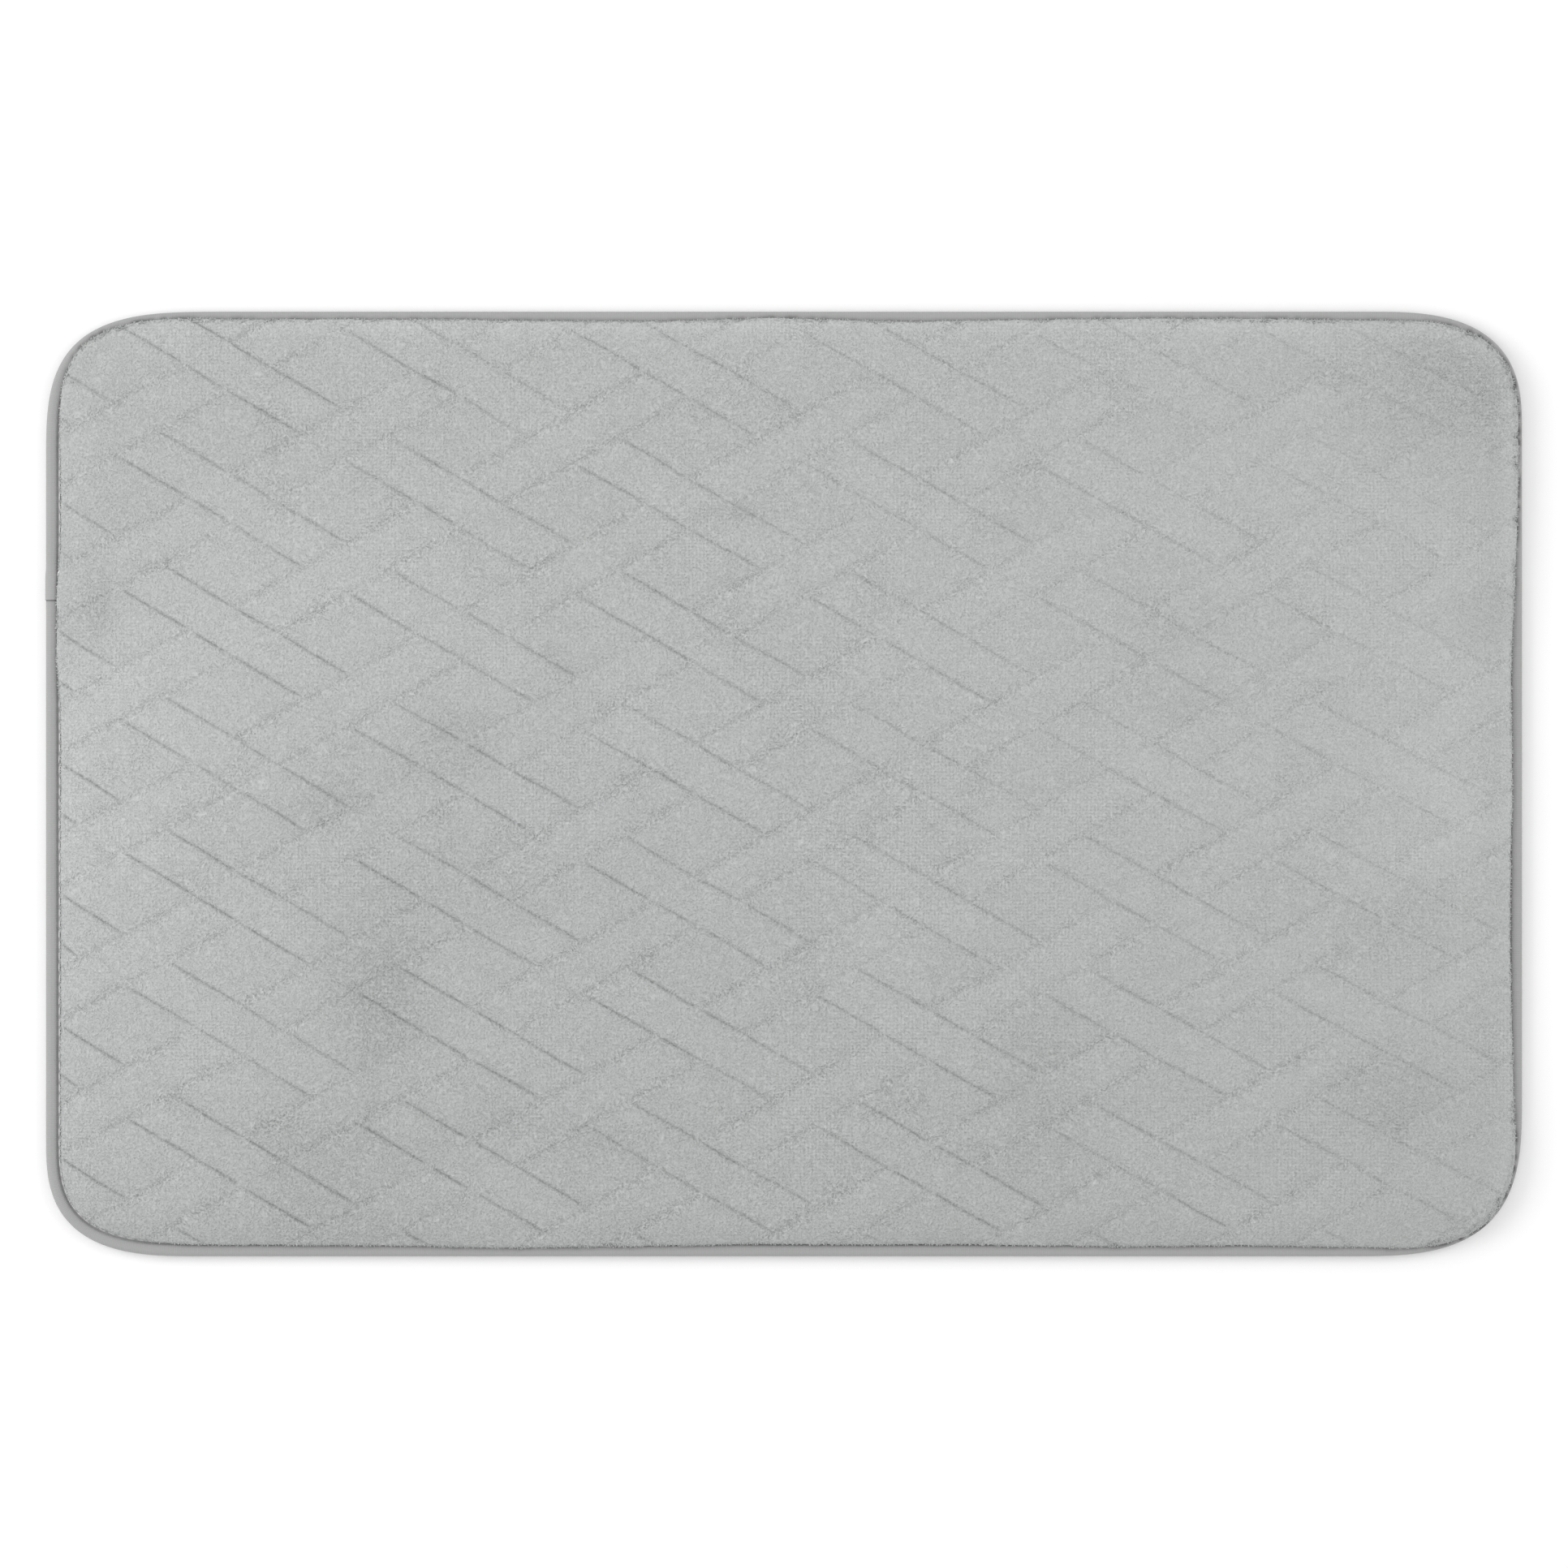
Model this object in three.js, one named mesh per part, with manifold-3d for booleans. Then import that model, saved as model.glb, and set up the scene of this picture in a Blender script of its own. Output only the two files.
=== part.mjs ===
// A cushioned bath mat: a plush face cloth, a foam core and a grip backing, bound all round with a
// folded tape that is sewn through the squeezed edge with a lockstitch.
// Millimetres. The mat lies on z = 0 with its middle over the origin, its long side along X and
// its face up. Front is -Y, back is +Y.

import * as THREE from "three";
import { mergeVertices } from "three/addons/utils/BufferGeometryUtils.js";
import Module from "manifold-3d";

const wasm = await Module();
wasm.setup();

// ---- Overall sizes ----

const matLength = 700;
const matWidth = 448;

// Each corner is a quarter of a superellipse. The reach is how far along each side it starts, and
// a higher power makes a squarer corner. The four differ a little, as sewn cloth does.
// They run anticlockwise from the back right.
const corners = [
  { sideX: 1, sideY: 1, reachX: 71, reachY: 56, power: 2.8 },
  { sideX: -1, sideY: 1, reachX: 87, reachY: 73, power: 3.4 },
  { sideX: -1, sideY: -1, reachX: 72, reachY: 56, power: 2.9 },
  { sideX: 1, sideY: -1, reachX: 82, reachY: 76, power: 3.1 },
];
const cornerSteps = 12;

// ---- Layers, in the open and squeezed flat inside the binding ----

const layerGap = 0.3;
const backingThickness = 1.2; // cloth and the grip dots under it
const backingAtEdge = 0.6; // cloth alone
const foamThickness = 10;
const foamAtEdge = 2.2;
const pileThickness = 3.2;
const pileAtEdge = 1.2;
const shoulderWidth = 17; // how far inside the binding the face comes up to its full height
const shoulderSteps = 4;
const backingStepWidth = 1; // where the backing drops from the binding to the floor

// ---- Binding tape and seam ----

const tapeThickness = 1; // two plies, because its edges are turned under
const tapeCover = 7.1; // how far it laps over the face, and under the back
const tapeBend = 1.2; // the turn over the upper and lower corner of the edge
const seamInset = 6.1; // the line of stitches, from the mat's edge
const threadThickness = 0.3;
const threadSides = 6;
const seamGrooveDepth = threadThickness + layerGap + 0.05;
const seamGrooveWidth = threadThickness + 2 * layerGap;

// ---- Care label, sewn into the left end on the underside ----

const labelLength = 32; // out of the seam, along X
const labelWidth = 40;
const labelThickness = 0.3;
const labelPlaceY = 40;
const floorClearance = 0.05;

// ---- Heights and insets that follow ----

const backingEdgeLow = tapeThickness + layerGap;
const backingEdgeHigh = backingEdgeLow + backingAtEdge;
const foamEdgeLow = backingEdgeHigh + layerGap;
const foamEdgeHigh = foamEdgeLow + foamAtEdge;
const pileEdgeLow = foamEdgeHigh + layerGap;
const pileEdgeHigh = pileEdgeLow + pileAtEdge;
const edgeHeight = pileEdgeHigh + layerGap + tapeThickness;

const foamLow = backingThickness + layerGap;
const foamHigh = foamLow + foamThickness;
const pileLow = foamHigh + layerGap;
const matThickness = pileLow + pileThickness;

const layerInset = tapeThickness + layerGap; // where the layers stop inside the binding's fold
const openInset = tapeCover + 2 * layerGap; // where they come out of it
const fullInset = openInset + shoulderWidth;
const foamShoulderInset = openInset + pileThickness;

// ---- The mat's outline ----

const rimCount = corners.length * (cornerSteps + 1);

// The rim point of one index, with the outline's outward direction there.
function rimPoint(index) {
  const corner = corners[Math.floor(index / (cornerSteps + 1)) % corners.length];
  const turned = (index % (cornerSteps + 1)) / cornerSteps;
  const risesFromX = corner.sideX === corner.sideY;
  const angle = (risesFromX ? turned : 1 - turned) * (Math.PI / 2);
  const alongX = Math.max(Math.cos(angle), 0);
  const alongY = Math.max(Math.sin(angle), 0);
  const shape = 2 / corner.power;
  const x = matLength / 2 - corner.reachX * (1 - alongX ** shape);
  const y = matWidth / 2 - corner.reachY * (1 - alongY ** shape);
  const outX = alongX ** (2 - shape) / corner.reachX;
  const outY = alongY ** (2 - shape) / corner.reachY;
  const out = new THREE.Vector2(corner.sideX * outX, corner.sideY * outY).normalize();
  return { at: new THREE.Vector2(corner.sideX * x, corner.sideY * y), out };
}

// ---- Solids that follow the outline ----

// A lathe whose turn is led round the mat's outline in place of a circle. The section is a list of
// [inset from the rim, height], given upwards on its outer side.
// An inset of null is the middle of the mat.
function followRim(section) {
  const profile = section.map(([inset, height]) => new THREE.Vector2(inset === null ? 0 : 1, height));
  const geometry = new THREE.LatheGeometry(profile, rimCount);
  const position = geometry.getAttribute("position");
  for (let turn = 0; turn <= rimCount; turn++) {
    const rim = rimPoint(turn % rimCount);
    section.forEach(([inset, height], place) => {
      const spot = inset === null ? new THREE.Vector2() : rim.at.clone().addScaledVector(rim.out, -inset);
      position.setXYZ(turn * section.length + place, spot.x, spot.y, height);
    });
  }
  geometry.deleteAttribute("normal");
  geometry.deleteAttribute("uv");
  return mergeVertices(geometry);
}

// The quarter round by which a layer comes up from the squeezed edge to its full height.
function shoulder(startInset, edgeHigh, fullHigh) {
  const points = [];
  for (let step = 0; step <= shoulderSteps; step++) {
    const angle = (step / shoulderSteps) * (Math.PI / 2);
    const inset = fullInset - (fullInset - startInset) * Math.cos(angle);
    points.push([inset, edgeHigh + (fullHigh - edgeHigh) * Math.sin(angle)]);
  }
  return points;
}

// The line where a layer steps down from the binding's lower leg towards the floor.
function backingStep(edgeZ, openZ) {
  return [
    [openInset, edgeZ],
    [openInset + backingStepWidth, openZ],
  ];
}

function toSolid(geometry) {
  const bare = geometry.clone();
  bare.deleteAttribute("normal");
  bare.deleteAttribute("uv");
  const merged = mergeVertices(bare);
  return new wasm.Manifold(
    new wasm.Mesh({
      numProp: 3,
      vertProperties: new Float32Array(merged.getAttribute("position").array),
      triVerts: new Uint32Array(merged.index.array),
    }),
  );
}

function toGeometry(solid) {
  const { vertProperties, triVerts } = solid.getMesh();
  const geometry = new THREE.BufferGeometry();
  geometry.setAttribute("position", new THREE.BufferAttribute(new Float32Array(vertProperties), 3));
  geometry.setIndex(new THREE.BufferAttribute(new Uint32Array(triVerts), 1));
  geometry.computeVertexNormals();
  return geometry;
}

// ---- The layers ----

function foamCoreGeometry() {
  return followRim([
    [null, foamLow],
    ...backingStep(foamEdgeLow, foamLow).reverse(),
    [layerInset, foamEdgeLow],
    [layerInset, foamEdgeHigh],
    ...shoulder(foamShoulderInset, foamEdgeHigh, foamHigh),
    [null, foamHigh],
  ]);
}

function pileFaceGeometry() {
  return followRim([
    [null, pileLow],
    ...shoulder(foamShoulderInset - layerGap, pileEdgeLow, pileLow).reverse(),
    [layerInset, pileEdgeLow],
    [layerInset, pileEdgeHigh],
    ...shoulder(openInset, pileEdgeHigh, matThickness),
    [null, matThickness],
  ]);
}

// The backing has a shallow pocket on its underside for the care label to lie in.
function gripBackingGeometry() {
  const sheet = followRim([
    [null, 0],
    ...backingStep(backingEdgeLow, 0).reverse(),
    [layerInset, backingEdgeLow],
    [layerInset, backingEdgeHigh],
    ...backingStep(backingEdgeHigh, backingThickness),
    [null, backingThickness],
  ]);
  const pocketTop = floorClearance + labelThickness + layerGap;
  const pocketStartX = -matLength / 2 + openInset;
  const pocketLength = labelLength + layerGap;
  const pocket = new THREE.BoxGeometry(pocketLength, labelWidth + 2 * layerGap, 2 * pocketTop);
  pocket.translate(pocketStartX + pocketLength / 2, labelPlaceY, 0);
  return toGeometry(toSolid(sheet).subtract(toSolid(pocket)));
}

// ---- The binding and its seam ----

// One leg of the folded tape, from its free edge to the fold, with the groove that the stitches
// press into it.
function tapeLeg(outerZ, intoTape) {
  const grooveZ = outerZ + intoTape * seamGrooveDepth;
  return [
    [tapeCover, outerZ],
    [seamInset + seamGrooveWidth / 2, outerZ],
    [seamInset + seamGrooveWidth / 2, grooveZ],
    [seamInset - seamGrooveWidth / 2, grooveZ],
    [seamInset - seamGrooveWidth / 2, outerZ],
    [tapeBend, outerZ],
  ];
}

function edgeBindingGeometry() {
  const bendMiddle = tapeBend * (1 - Math.SQRT1_2);
  return followRim([
    ...tapeLeg(0, 1),
    [bendMiddle, bendMiddle],
    [0, tapeBend],
    [0, edgeHeight - tapeBend],
    [bendMiddle, edgeHeight - bendMiddle],
    ...tapeLeg(edgeHeight, -1).reverse(),
    [tapeCover, edgeHeight - tapeThickness],
    [tapeThickness, edgeHeight - tapeThickness],
    [tapeThickness, tapeThickness],
    [tapeCover, tapeThickness],
    [tapeCover, 0],
  ]);
}

// One thread of the seam, drawn as a closed line of cord at the given height.
function threadGeometry(middleZ) {
  const section = [];
  for (let side = 0; side <= threadSides; side++) {
    const angle = ((side % threadSides) / threadSides) * 2 * Math.PI;
    const inset = seamInset - (threadThickness / 2) * Math.cos(angle);
    section.push([inset, middleZ + (threadThickness / 2) * Math.sin(angle)]);
  }
  return followRim(section);
}

const needleThreadZ = edgeHeight - seamGrooveDepth + layerGap + threadThickness / 2;
const bobbinThreadZ = seamGrooveDepth - layerGap - threadThickness / 2;

// ---- The care label ----

// A plain satin ribbon with softened free corners, its sewn end at the binding's inner edge.
function careLabelGeometry() {
  const cornerRadius = 2;
  const half = labelWidth / 2;
  const outline = new THREE.Shape();
  outline.moveTo(0, -half);
  outline.lineTo(labelLength - cornerRadius, -half);
  outline.absarc(labelLength - cornerRadius, -half + cornerRadius, cornerRadius, -Math.PI / 2, 0, false);
  outline.absarc(labelLength - cornerRadius, half - cornerRadius, cornerRadius, 0, Math.PI / 2, false);
  outline.lineTo(0, half);
  outline.closePath();
  return new THREE.ExtrudeGeometry(outline, {
    depth: labelThickness,
    bevelEnabled: false,
    curveSegments: 4,
  });
}

// ---- Assembly ----

function piece(name, geometry, color, roughness) {
  const material = new THREE.MeshStandardMaterial({ color, roughness, metalness: 0 });
  const mesh = new THREE.Mesh(geometry, material);
  mesh.name = name;
  return mesh;
}

const group = new THREE.Group();
group.name = "bath_mat";

const layers = new THREE.Group();
layers.add(piece("grip_backing", gripBackingGeometry(), 0xc9cac8, 0.85));
layers.add(piece("foam_core", foamCoreGeometry(), 0xe9e2c8, 0.9));
layers.add(piece("pile_face", pileFaceGeometry(), 0xb3b5b4, 0.95));
group.add(layers);

const edge = new THREE.Group();
edge.add(piece("edge_binding", edgeBindingGeometry(), 0xa8a9a8, 0.8));
edge.add(piece("needle_thread", threadGeometry(needleThreadZ), 0xc8c9c8, 0.6));
edge.add(piece("bobbin_thread", threadGeometry(bobbinThreadZ), 0xc8c9c8, 0.6));
group.add(edge);

const careLabel = piece("care_label", careLabelGeometry(), 0xf2f2ee, 0.5);
careLabel.position.set(-matLength / 2 + tapeCover + layerGap, labelPlaceY, floorClearance);
group.add(careLabel);

export default group;
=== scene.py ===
import math

import bpy
import numpy as np
from bpy.props import FloatProperty, FloatVectorProperty, PointerProperty
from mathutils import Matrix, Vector, kdtree
from mathutils.geometry import delaunay_2d_cdt


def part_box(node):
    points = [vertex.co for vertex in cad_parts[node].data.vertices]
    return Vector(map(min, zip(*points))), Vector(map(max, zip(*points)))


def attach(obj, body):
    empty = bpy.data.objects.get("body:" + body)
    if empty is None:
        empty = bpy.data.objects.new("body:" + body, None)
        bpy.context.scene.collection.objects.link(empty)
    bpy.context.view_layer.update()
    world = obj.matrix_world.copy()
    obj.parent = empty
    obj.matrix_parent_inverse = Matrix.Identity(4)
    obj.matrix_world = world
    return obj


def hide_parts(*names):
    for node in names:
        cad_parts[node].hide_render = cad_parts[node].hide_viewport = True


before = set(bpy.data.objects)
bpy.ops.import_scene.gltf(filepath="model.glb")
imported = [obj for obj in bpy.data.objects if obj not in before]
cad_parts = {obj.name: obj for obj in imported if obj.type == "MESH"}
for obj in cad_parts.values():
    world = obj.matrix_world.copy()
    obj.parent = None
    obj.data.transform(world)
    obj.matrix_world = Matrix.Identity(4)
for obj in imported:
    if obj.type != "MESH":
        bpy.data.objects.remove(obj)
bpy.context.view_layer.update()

bl_info = {
    "name": "Bath Mat",
    "version": (1, 0, 0),
    "blender": (4, 5, 0),
    "location": "View3D > Sidebar > Bath Mat",
    "description": "Makes a bound, cushioned bath mat with an embossed plush face",
    "category": "Add Mesh",
}

# Lengths are in metres unless a name says otherwise. Seen from above, +X is right and +Y is back.

MM = 0.001
EDGE_LOW, EDGE_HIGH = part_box("edge_binding")
PILE_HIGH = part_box("pile_face")[1]
FOAM_LOW, FOAM_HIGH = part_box("foam_core")
LABEL_LOW, LABEL_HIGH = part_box("care_label")

ROOT_GAP = 0.0004   # from the tape's free edge to where the pile cloth comes out
SPARE = 0.001       # pile cloth beyond the outline, taken up by the roll at its edge
EDGE_ROOM = 0.0013  # from the rim to the edges of the foam and the backing
GRIP_END = 0.0006   # past the tape's cover, where it lets go of the foam and the backing

# How far inside the rim the squeezed layers start to swell, and where they reach their full height.
CLOTH_RISE = (0.0106, 0.0247)
FOAM_RISE = (0.0109, 0.0247)

# How much of the tape shows before the pile starts, in millimetres, at places round the rim.
TAPE_SHOWING = (
    (-350, 106, 7.4), (-350, 95, 5.6), (-350, 60, 5.4), (-350, 35, 7.4), (-350, -150, 7.4),
    (-343, -203, 7.3), (-310, -222, 7.0), (-280, -224, 6.0), (-200, -224, 5.5), (-130, -224, 4.3),
    (-80, -224, 4.8), (-20, -224, 6.2), (100, -224, 5.9), (160, -224, 4.9), (220, -224, 5.5),
    (280, -224, 4.5), (312, -221, 2.2), (335, -207, 1.0), (348, -180, 2.0), (350, -150, 4.5),
    (350, -60, 6.3), (350, 0, 5.0), (350, 60, 5.6), (350, 115, 2.8), (350, 155, 1.9),
    (346, 197, 2.2), (324, 218, 2.9), (295, 224, 4.6), (235, 224, 3.7), (145, 224, 3.7),
    (60, 224, 5.1), (-5, 224, 3.2), (-65, 224, 5.1), (-155, 224, 4.1), (-250, 224, 3.9),
    (-305, 222, 3.2), (-333, 212, 3.0), (-347, 190, 5.4), (-350, 160, 7.4),
)

# Lighter and darker patches of the pile, partly from brushing and partly painted light and shade:
# middle x, middle y, reach along x and along y, all in millimetres, and the change of tone.
BRUSHED_AND_SHADED_PATCHES = (
    (-330, 20, 55, 60, 0.055), (-240, 85, 80, 60, 0.05), (-328, 86, 11, 17, -0.10),
    (-165, 18, 26, 14, -0.06), (-215, -10, 18, 11, -0.06), (-196, -97, 23, 42, -0.095),
    (-218, -178, 34, 24, -0.04), (-150, -45, 38, 18, -0.035), (-215, -210, 42, 15, -0.045),
    (-25, 125, 28, 7, -0.06), (92, 122, 11, 10, -0.05), (122, -150, 30, 42, -0.05),
    (285, -150, 34, 28, -0.06), (292, -65, 28, 20, -0.06), (310, 190, 48, 34, -0.11),
    (180, 80, 28, 13, -0.035), (195, 42, 36, 10, -0.035), (342, 90, 20, 20, -0.04),
    (-130, -165, 75, 11, -0.035), (-318, -85, 82, 130, 0.06), (318, 10, 48, 62, 0.05),
    (50, -70, 40, 55, 0.02), (-60, 40, 60, 30, 0.012),
)


# ---------------------------------------------------------------- sizes and colours


def metres(name, description, default):
    return FloatProperty(name=name, description=description, default=default, unit="LENGTH")


def plain(name, description, default, **settings):
    return FloatProperty(name=name, description=description, default=default, **settings)


def colour(name, description, default):
    return FloatVectorProperty(name=name, description=description, default=default, subtype="COLOR")


def corner(name, default):
    """A rounded corner: how far it reaches along X and along Y, and how square it is."""
    description = "Reach along X, reach along Y and power"
    return FloatVectorProperty(name=name, description=description, default=default)


class MatOutline(bpy.types.PropertyGroup):
    length: metres("Length", "Along X, over the tape", EDGE_HIGH.x - EDGE_LOW.x)
    width: metres("Width", "Along Y, over the tape", EDGE_HIGH.y - EDGE_LOW.y)
    back_right: corner("Back right corner", (0.071, 0.056, 2.8))
    back_left: corner("Back left corner", (0.087, 0.073, 3.4))
    front_left: corner("Front left corner", (0.072, 0.056, 2.9))
    front_right: corner("Front right corner", (0.082, 0.076, 3.1))
    joint_y: metres("Tape joint", "Where the tape's ends meet on the left side", 0.087)


class PileSizes(bpy.types.PropertyGroup):
    shoulder: metres("Shoulder", "From the rim to the full height", 0.025)
    grid: metres("Grid", "Between points of the mesh", 0.0031)
    lattice_x: metres("Lattice along X", "Half a diamond of the weave", 0.05424)
    lattice_y: metres("Lattice along Y", "Half a diamond of the weave", 0.03136)
    crossing: FloatVectorProperty(
        name="Crossing", description="Middle of one crossing", default=(-0.0969, 0.1004), size=2,
        subtype="XYZ",
    )
    strip: plain("Strip", "Half of a strip's width, as a share of the pitch", 0.19)
    lean: plain("Lean", "Sideways stretch along the width", 0.018)
    bow: metres("Bow", "Rise of the weave towards the ends", 0.0031)
    crisp_depth: metres("Crisp groove", "Grooves that fall to the right", 0.0007)
    crisp_width: metres("Crisp groove width", "Half width", 0.00062)
    soft_depth: metres("Soft groove", "Grooves that rise to the right", 0.00026)
    soft_width: metres("Soft groove width", "Half width", 0.0009)
    parted: metres("Parted band", "Half width of the loosened pile along soft grooves", 0.0024)
    tuft: metres("Tuft", "Length of a tuft at the edge", 0.0016)
    wale: metres("Wale", "Between lines of the knit", 0.00176)


class TapeSizes(bpy.types.PropertyGroup):
    cover: metres("Cover", "Width over the face", 0.0076)
    thickness: metres("Thickness", "Two plies", 0.0009)
    seam: metres("Seam", "Stitches, from the rim", 0.00675)
    stitch: metres("Stitch pitch", "Along the seam", 0.0052)
    stitch_share: plain("Stitch share", "Part of the pitch that shows", 0.8, subtype="FACTOR")
    thread: metres("Thread", "Diameter", 0.0007)
    lap: metres("Lap", "How far the ends overlap", 0.016)
    rib: metres("Rib", "Between ribs of the weave", 0.0009)


class BackingSizes(bpy.types.PropertyGroup):
    cloth: metres("Cloth", "Thickness", 0.0004)
    dot_radius: metres("Dot radius", "Grip dots", 0.0016)
    dot_height: metres("Dot height", "Grip dots", 0.0008)
    dot_pitch: metres("Dot pitch", "Between dots", 0.0102)


class MatColours(bpy.types.PropertyGroup):
    pile: colour("Pile", "Cool light grey", (0.420, 0.431, 0.426))
    # Groove: painted shade in the embossed grooves, with some of the pressed pile's own darker look.
    groove: colour("Groove", "Pile seen from its side", (0.24, 0.247, 0.243))
    tape: colour("Tape", "Slightly darker grey", (0.355, 0.36, 0.356))
    thread: colour("Thread", "Pale grey", (0.70, 0.705, 0.70))
    foam: colour("Foam", "Cream", (0.78, 0.72, 0.55))
    backing: colour("Backing", "Pale grey knit", (0.55, 0.555, 0.55))
    dot: colour("Grip dots", "Milky plastic", (0.72, 0.725, 0.71))
    label: colour("Label", "White satin", (0.82, 0.82, 0.80))
    floor: colour("Floor", "Almost white", (0.93, 0.93, 0.93))


class StageSizes(bpy.types.PropertyGroup):
    camera_height: metres("Camera height", "Straight over the mat", 4.135)
    lens_mm: plain("Lens", "Focal length in millimetres", 200.0)
    floor: metres("Floor", "Side of the floor", 14.0)
    sky: plain("Sky", "Strength of the light from all round", 0.85)
    key_watts: plain("Key light", "From the left", 40.0, subtype="POWER")
    fill_watts: plain("Fill light", "From the right", 18.0, subtype="POWER")


PROPERTIES = {
    "mat_outline": MatOutline,
    "mat_pile": PileSizes,
    "mat_tape": TapeSizes,
    "mat_backing": BackingSizes,
    "mat_colours": MatColours,
    "mat_stage": StageSizes,
}


# ---------------------------------------------------------------- shader graphs


class Number:
    """A socket's value. Arithmetic on it adds Math nodes to its graph."""

    def __init__(self, graph, socket):
        self.graph, self.socket = graph, socket

    def math(self, operation, *values):
        return self.graph.math(operation, *values)

    def __add__(self, other):
        return self.math("ADD", self, other)

    __radd__ = __add__

    def __mul__(self, other):
        return self.math("MULTIPLY", self, other)

    __rmul__ = __mul__

    def __sub__(self, other):
        return self.math("SUBTRACT", self, other)

    def __rsub__(self, other):
        return self.math("SUBTRACT", other, self)

    def sine(self):
        return self.math("SINE", self)

    def clamped(self):
        return self.math("MINIMUM", self.math("MAXIMUM", self, 0.0), 1.0)


class Graph:
    """The node tree of one new material."""

    def __init__(self, name):
        self.material = bpy.data.materials.new(name)
        self.material.use_nodes = True
        self.tree = self.material.node_tree
        self.shader = self.tree.nodes["Principled BSDF"]

    def add(self, kind, settings=None, inputs=None):
        node = self.tree.nodes.new(kind)
        for key, value in (settings or {}).items():
            setattr(node, key, value)
        for key, value in (inputs or {}).items():
            self.feed(node.inputs[key], value)
        return node

    def feed(self, socket, value):
        if isinstance(value, Number):
            self.tree.links.new(value.socket, socket)
        elif isinstance(value, bpy.types.NodeSocket):
            self.tree.links.new(value, socket)
        elif hasattr(value, "__len__") and socket.type == "RGBA" and len(value) == 3:
            socket.default_value = (*value, 1.0)
        else:
            socket.default_value = value

    def math(self, operation, *values):
        node = self.add("ShaderNodeMath", {"operation": operation}, dict(enumerate(values)))
        return Number(self, node.outputs[0])

    def place(self):
        """Object coordinates, in metres, as a vector and as three numbers."""
        return self.parts(self.add("ShaderNodeTexCoord").outputs["Object"])

    def uv(self, name):
        """The piece's own map, as a vector and as three numbers."""
        return self.parts(self.add("ShaderNodeUVMap", {"uv_map": name}).outputs["UV"])

    def parts(self, vector):
        split = self.add("ShaderNodeSeparateXYZ", inputs={"Vector": vector})
        return vector, [Number(self, part) for part in split.outputs]

    def attribute(self, name):
        return Number(self, self.add("ShaderNodeAttribute", {"attribute_name": name}).outputs["Fac"])

    def stretched(self, vector, scale):
        settings = {"operation": "MULTIPLY"}
        return self.add("ShaderNodeVectorMath", settings, {0: vector, 1: scale}).outputs["Vector"]

    def noise(self, vector, size, detail=2.0, roughness=0.5):
        inputs = {"Vector": vector, "Scale": 1.0 / size, "Detail": detail, "Roughness": roughness}
        return Number(self, self.add("ShaderNodeTexNoise", inputs=inputs).outputs["Fac"])

    def drifted(self, vector, size, reach):
        """The vector moved sideways by up to about half of reach, in eddies of a size."""
        inputs = {"Vector": vector, "Scale": 1.0 / size, "Detail": 1.0}
        eddies = self.add("ShaderNodeTexNoise", inputs=inputs)
        settings = {"operation": "MULTIPLY_ADD"}
        inputs = {0: eddies.outputs["Color"], 1: (reach, reach, reach), 2: vector}
        return self.add("ShaderNodeVectorMath", settings, inputs).outputs["Vector"]

    def cells(self, vector, size):
        inputs = {"Vector": vector, "Scale": 1.0 / size}
        return Number(self, self.add("ShaderNodeTexVoronoi", inputs=inputs).outputs["Distance"])

    def spread(self, number, low, high):
        """number, widened so that low becomes 0 and high becomes 1."""
        inputs = {"Value": number, "From Min": low, "From Max": high}
        return Number(self, self.add("ShaderNodeMapRange", {"clamp": True}, inputs).outputs["Result"])

    def mixed(self, share, first, second):
        inputs = {"Factor": share, 6: first, 7: second}
        return self.add("ShaderNodeMix", {"data_type": "RGBA"}, inputs).outputs[2]

    def shaded(self, colour, tone):
        """colour made darker or lighter by a tone that is 1 where it stays as it is."""
        settings = {"operation": "SCALE"}
        return self.add("ShaderNodeVectorMath", settings, {0: colour, "Scale": tone}).outputs["Vector"]

    def finish(self, colour, roughness, height=None, depth=0.0, **constants):
        self.feed(self.shader.inputs["Base Color"], colour)
        self.feed(self.shader.inputs["Roughness"], roughness)
        if height is not None:
            inputs = {"Strength": 1.0, "Distance": depth, "Height": height}
            bump = self.add("ShaderNodeBump", inputs=inputs)
            self.feed(self.shader.inputs["Normal"], bump.outputs["Normal"])
        for name, value in constants.items():
            socket = name.replace("_", " ").title().replace("Ior", "IOR")
            self.feed(self.shader.inputs[socket], value)
        return self.material


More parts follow.
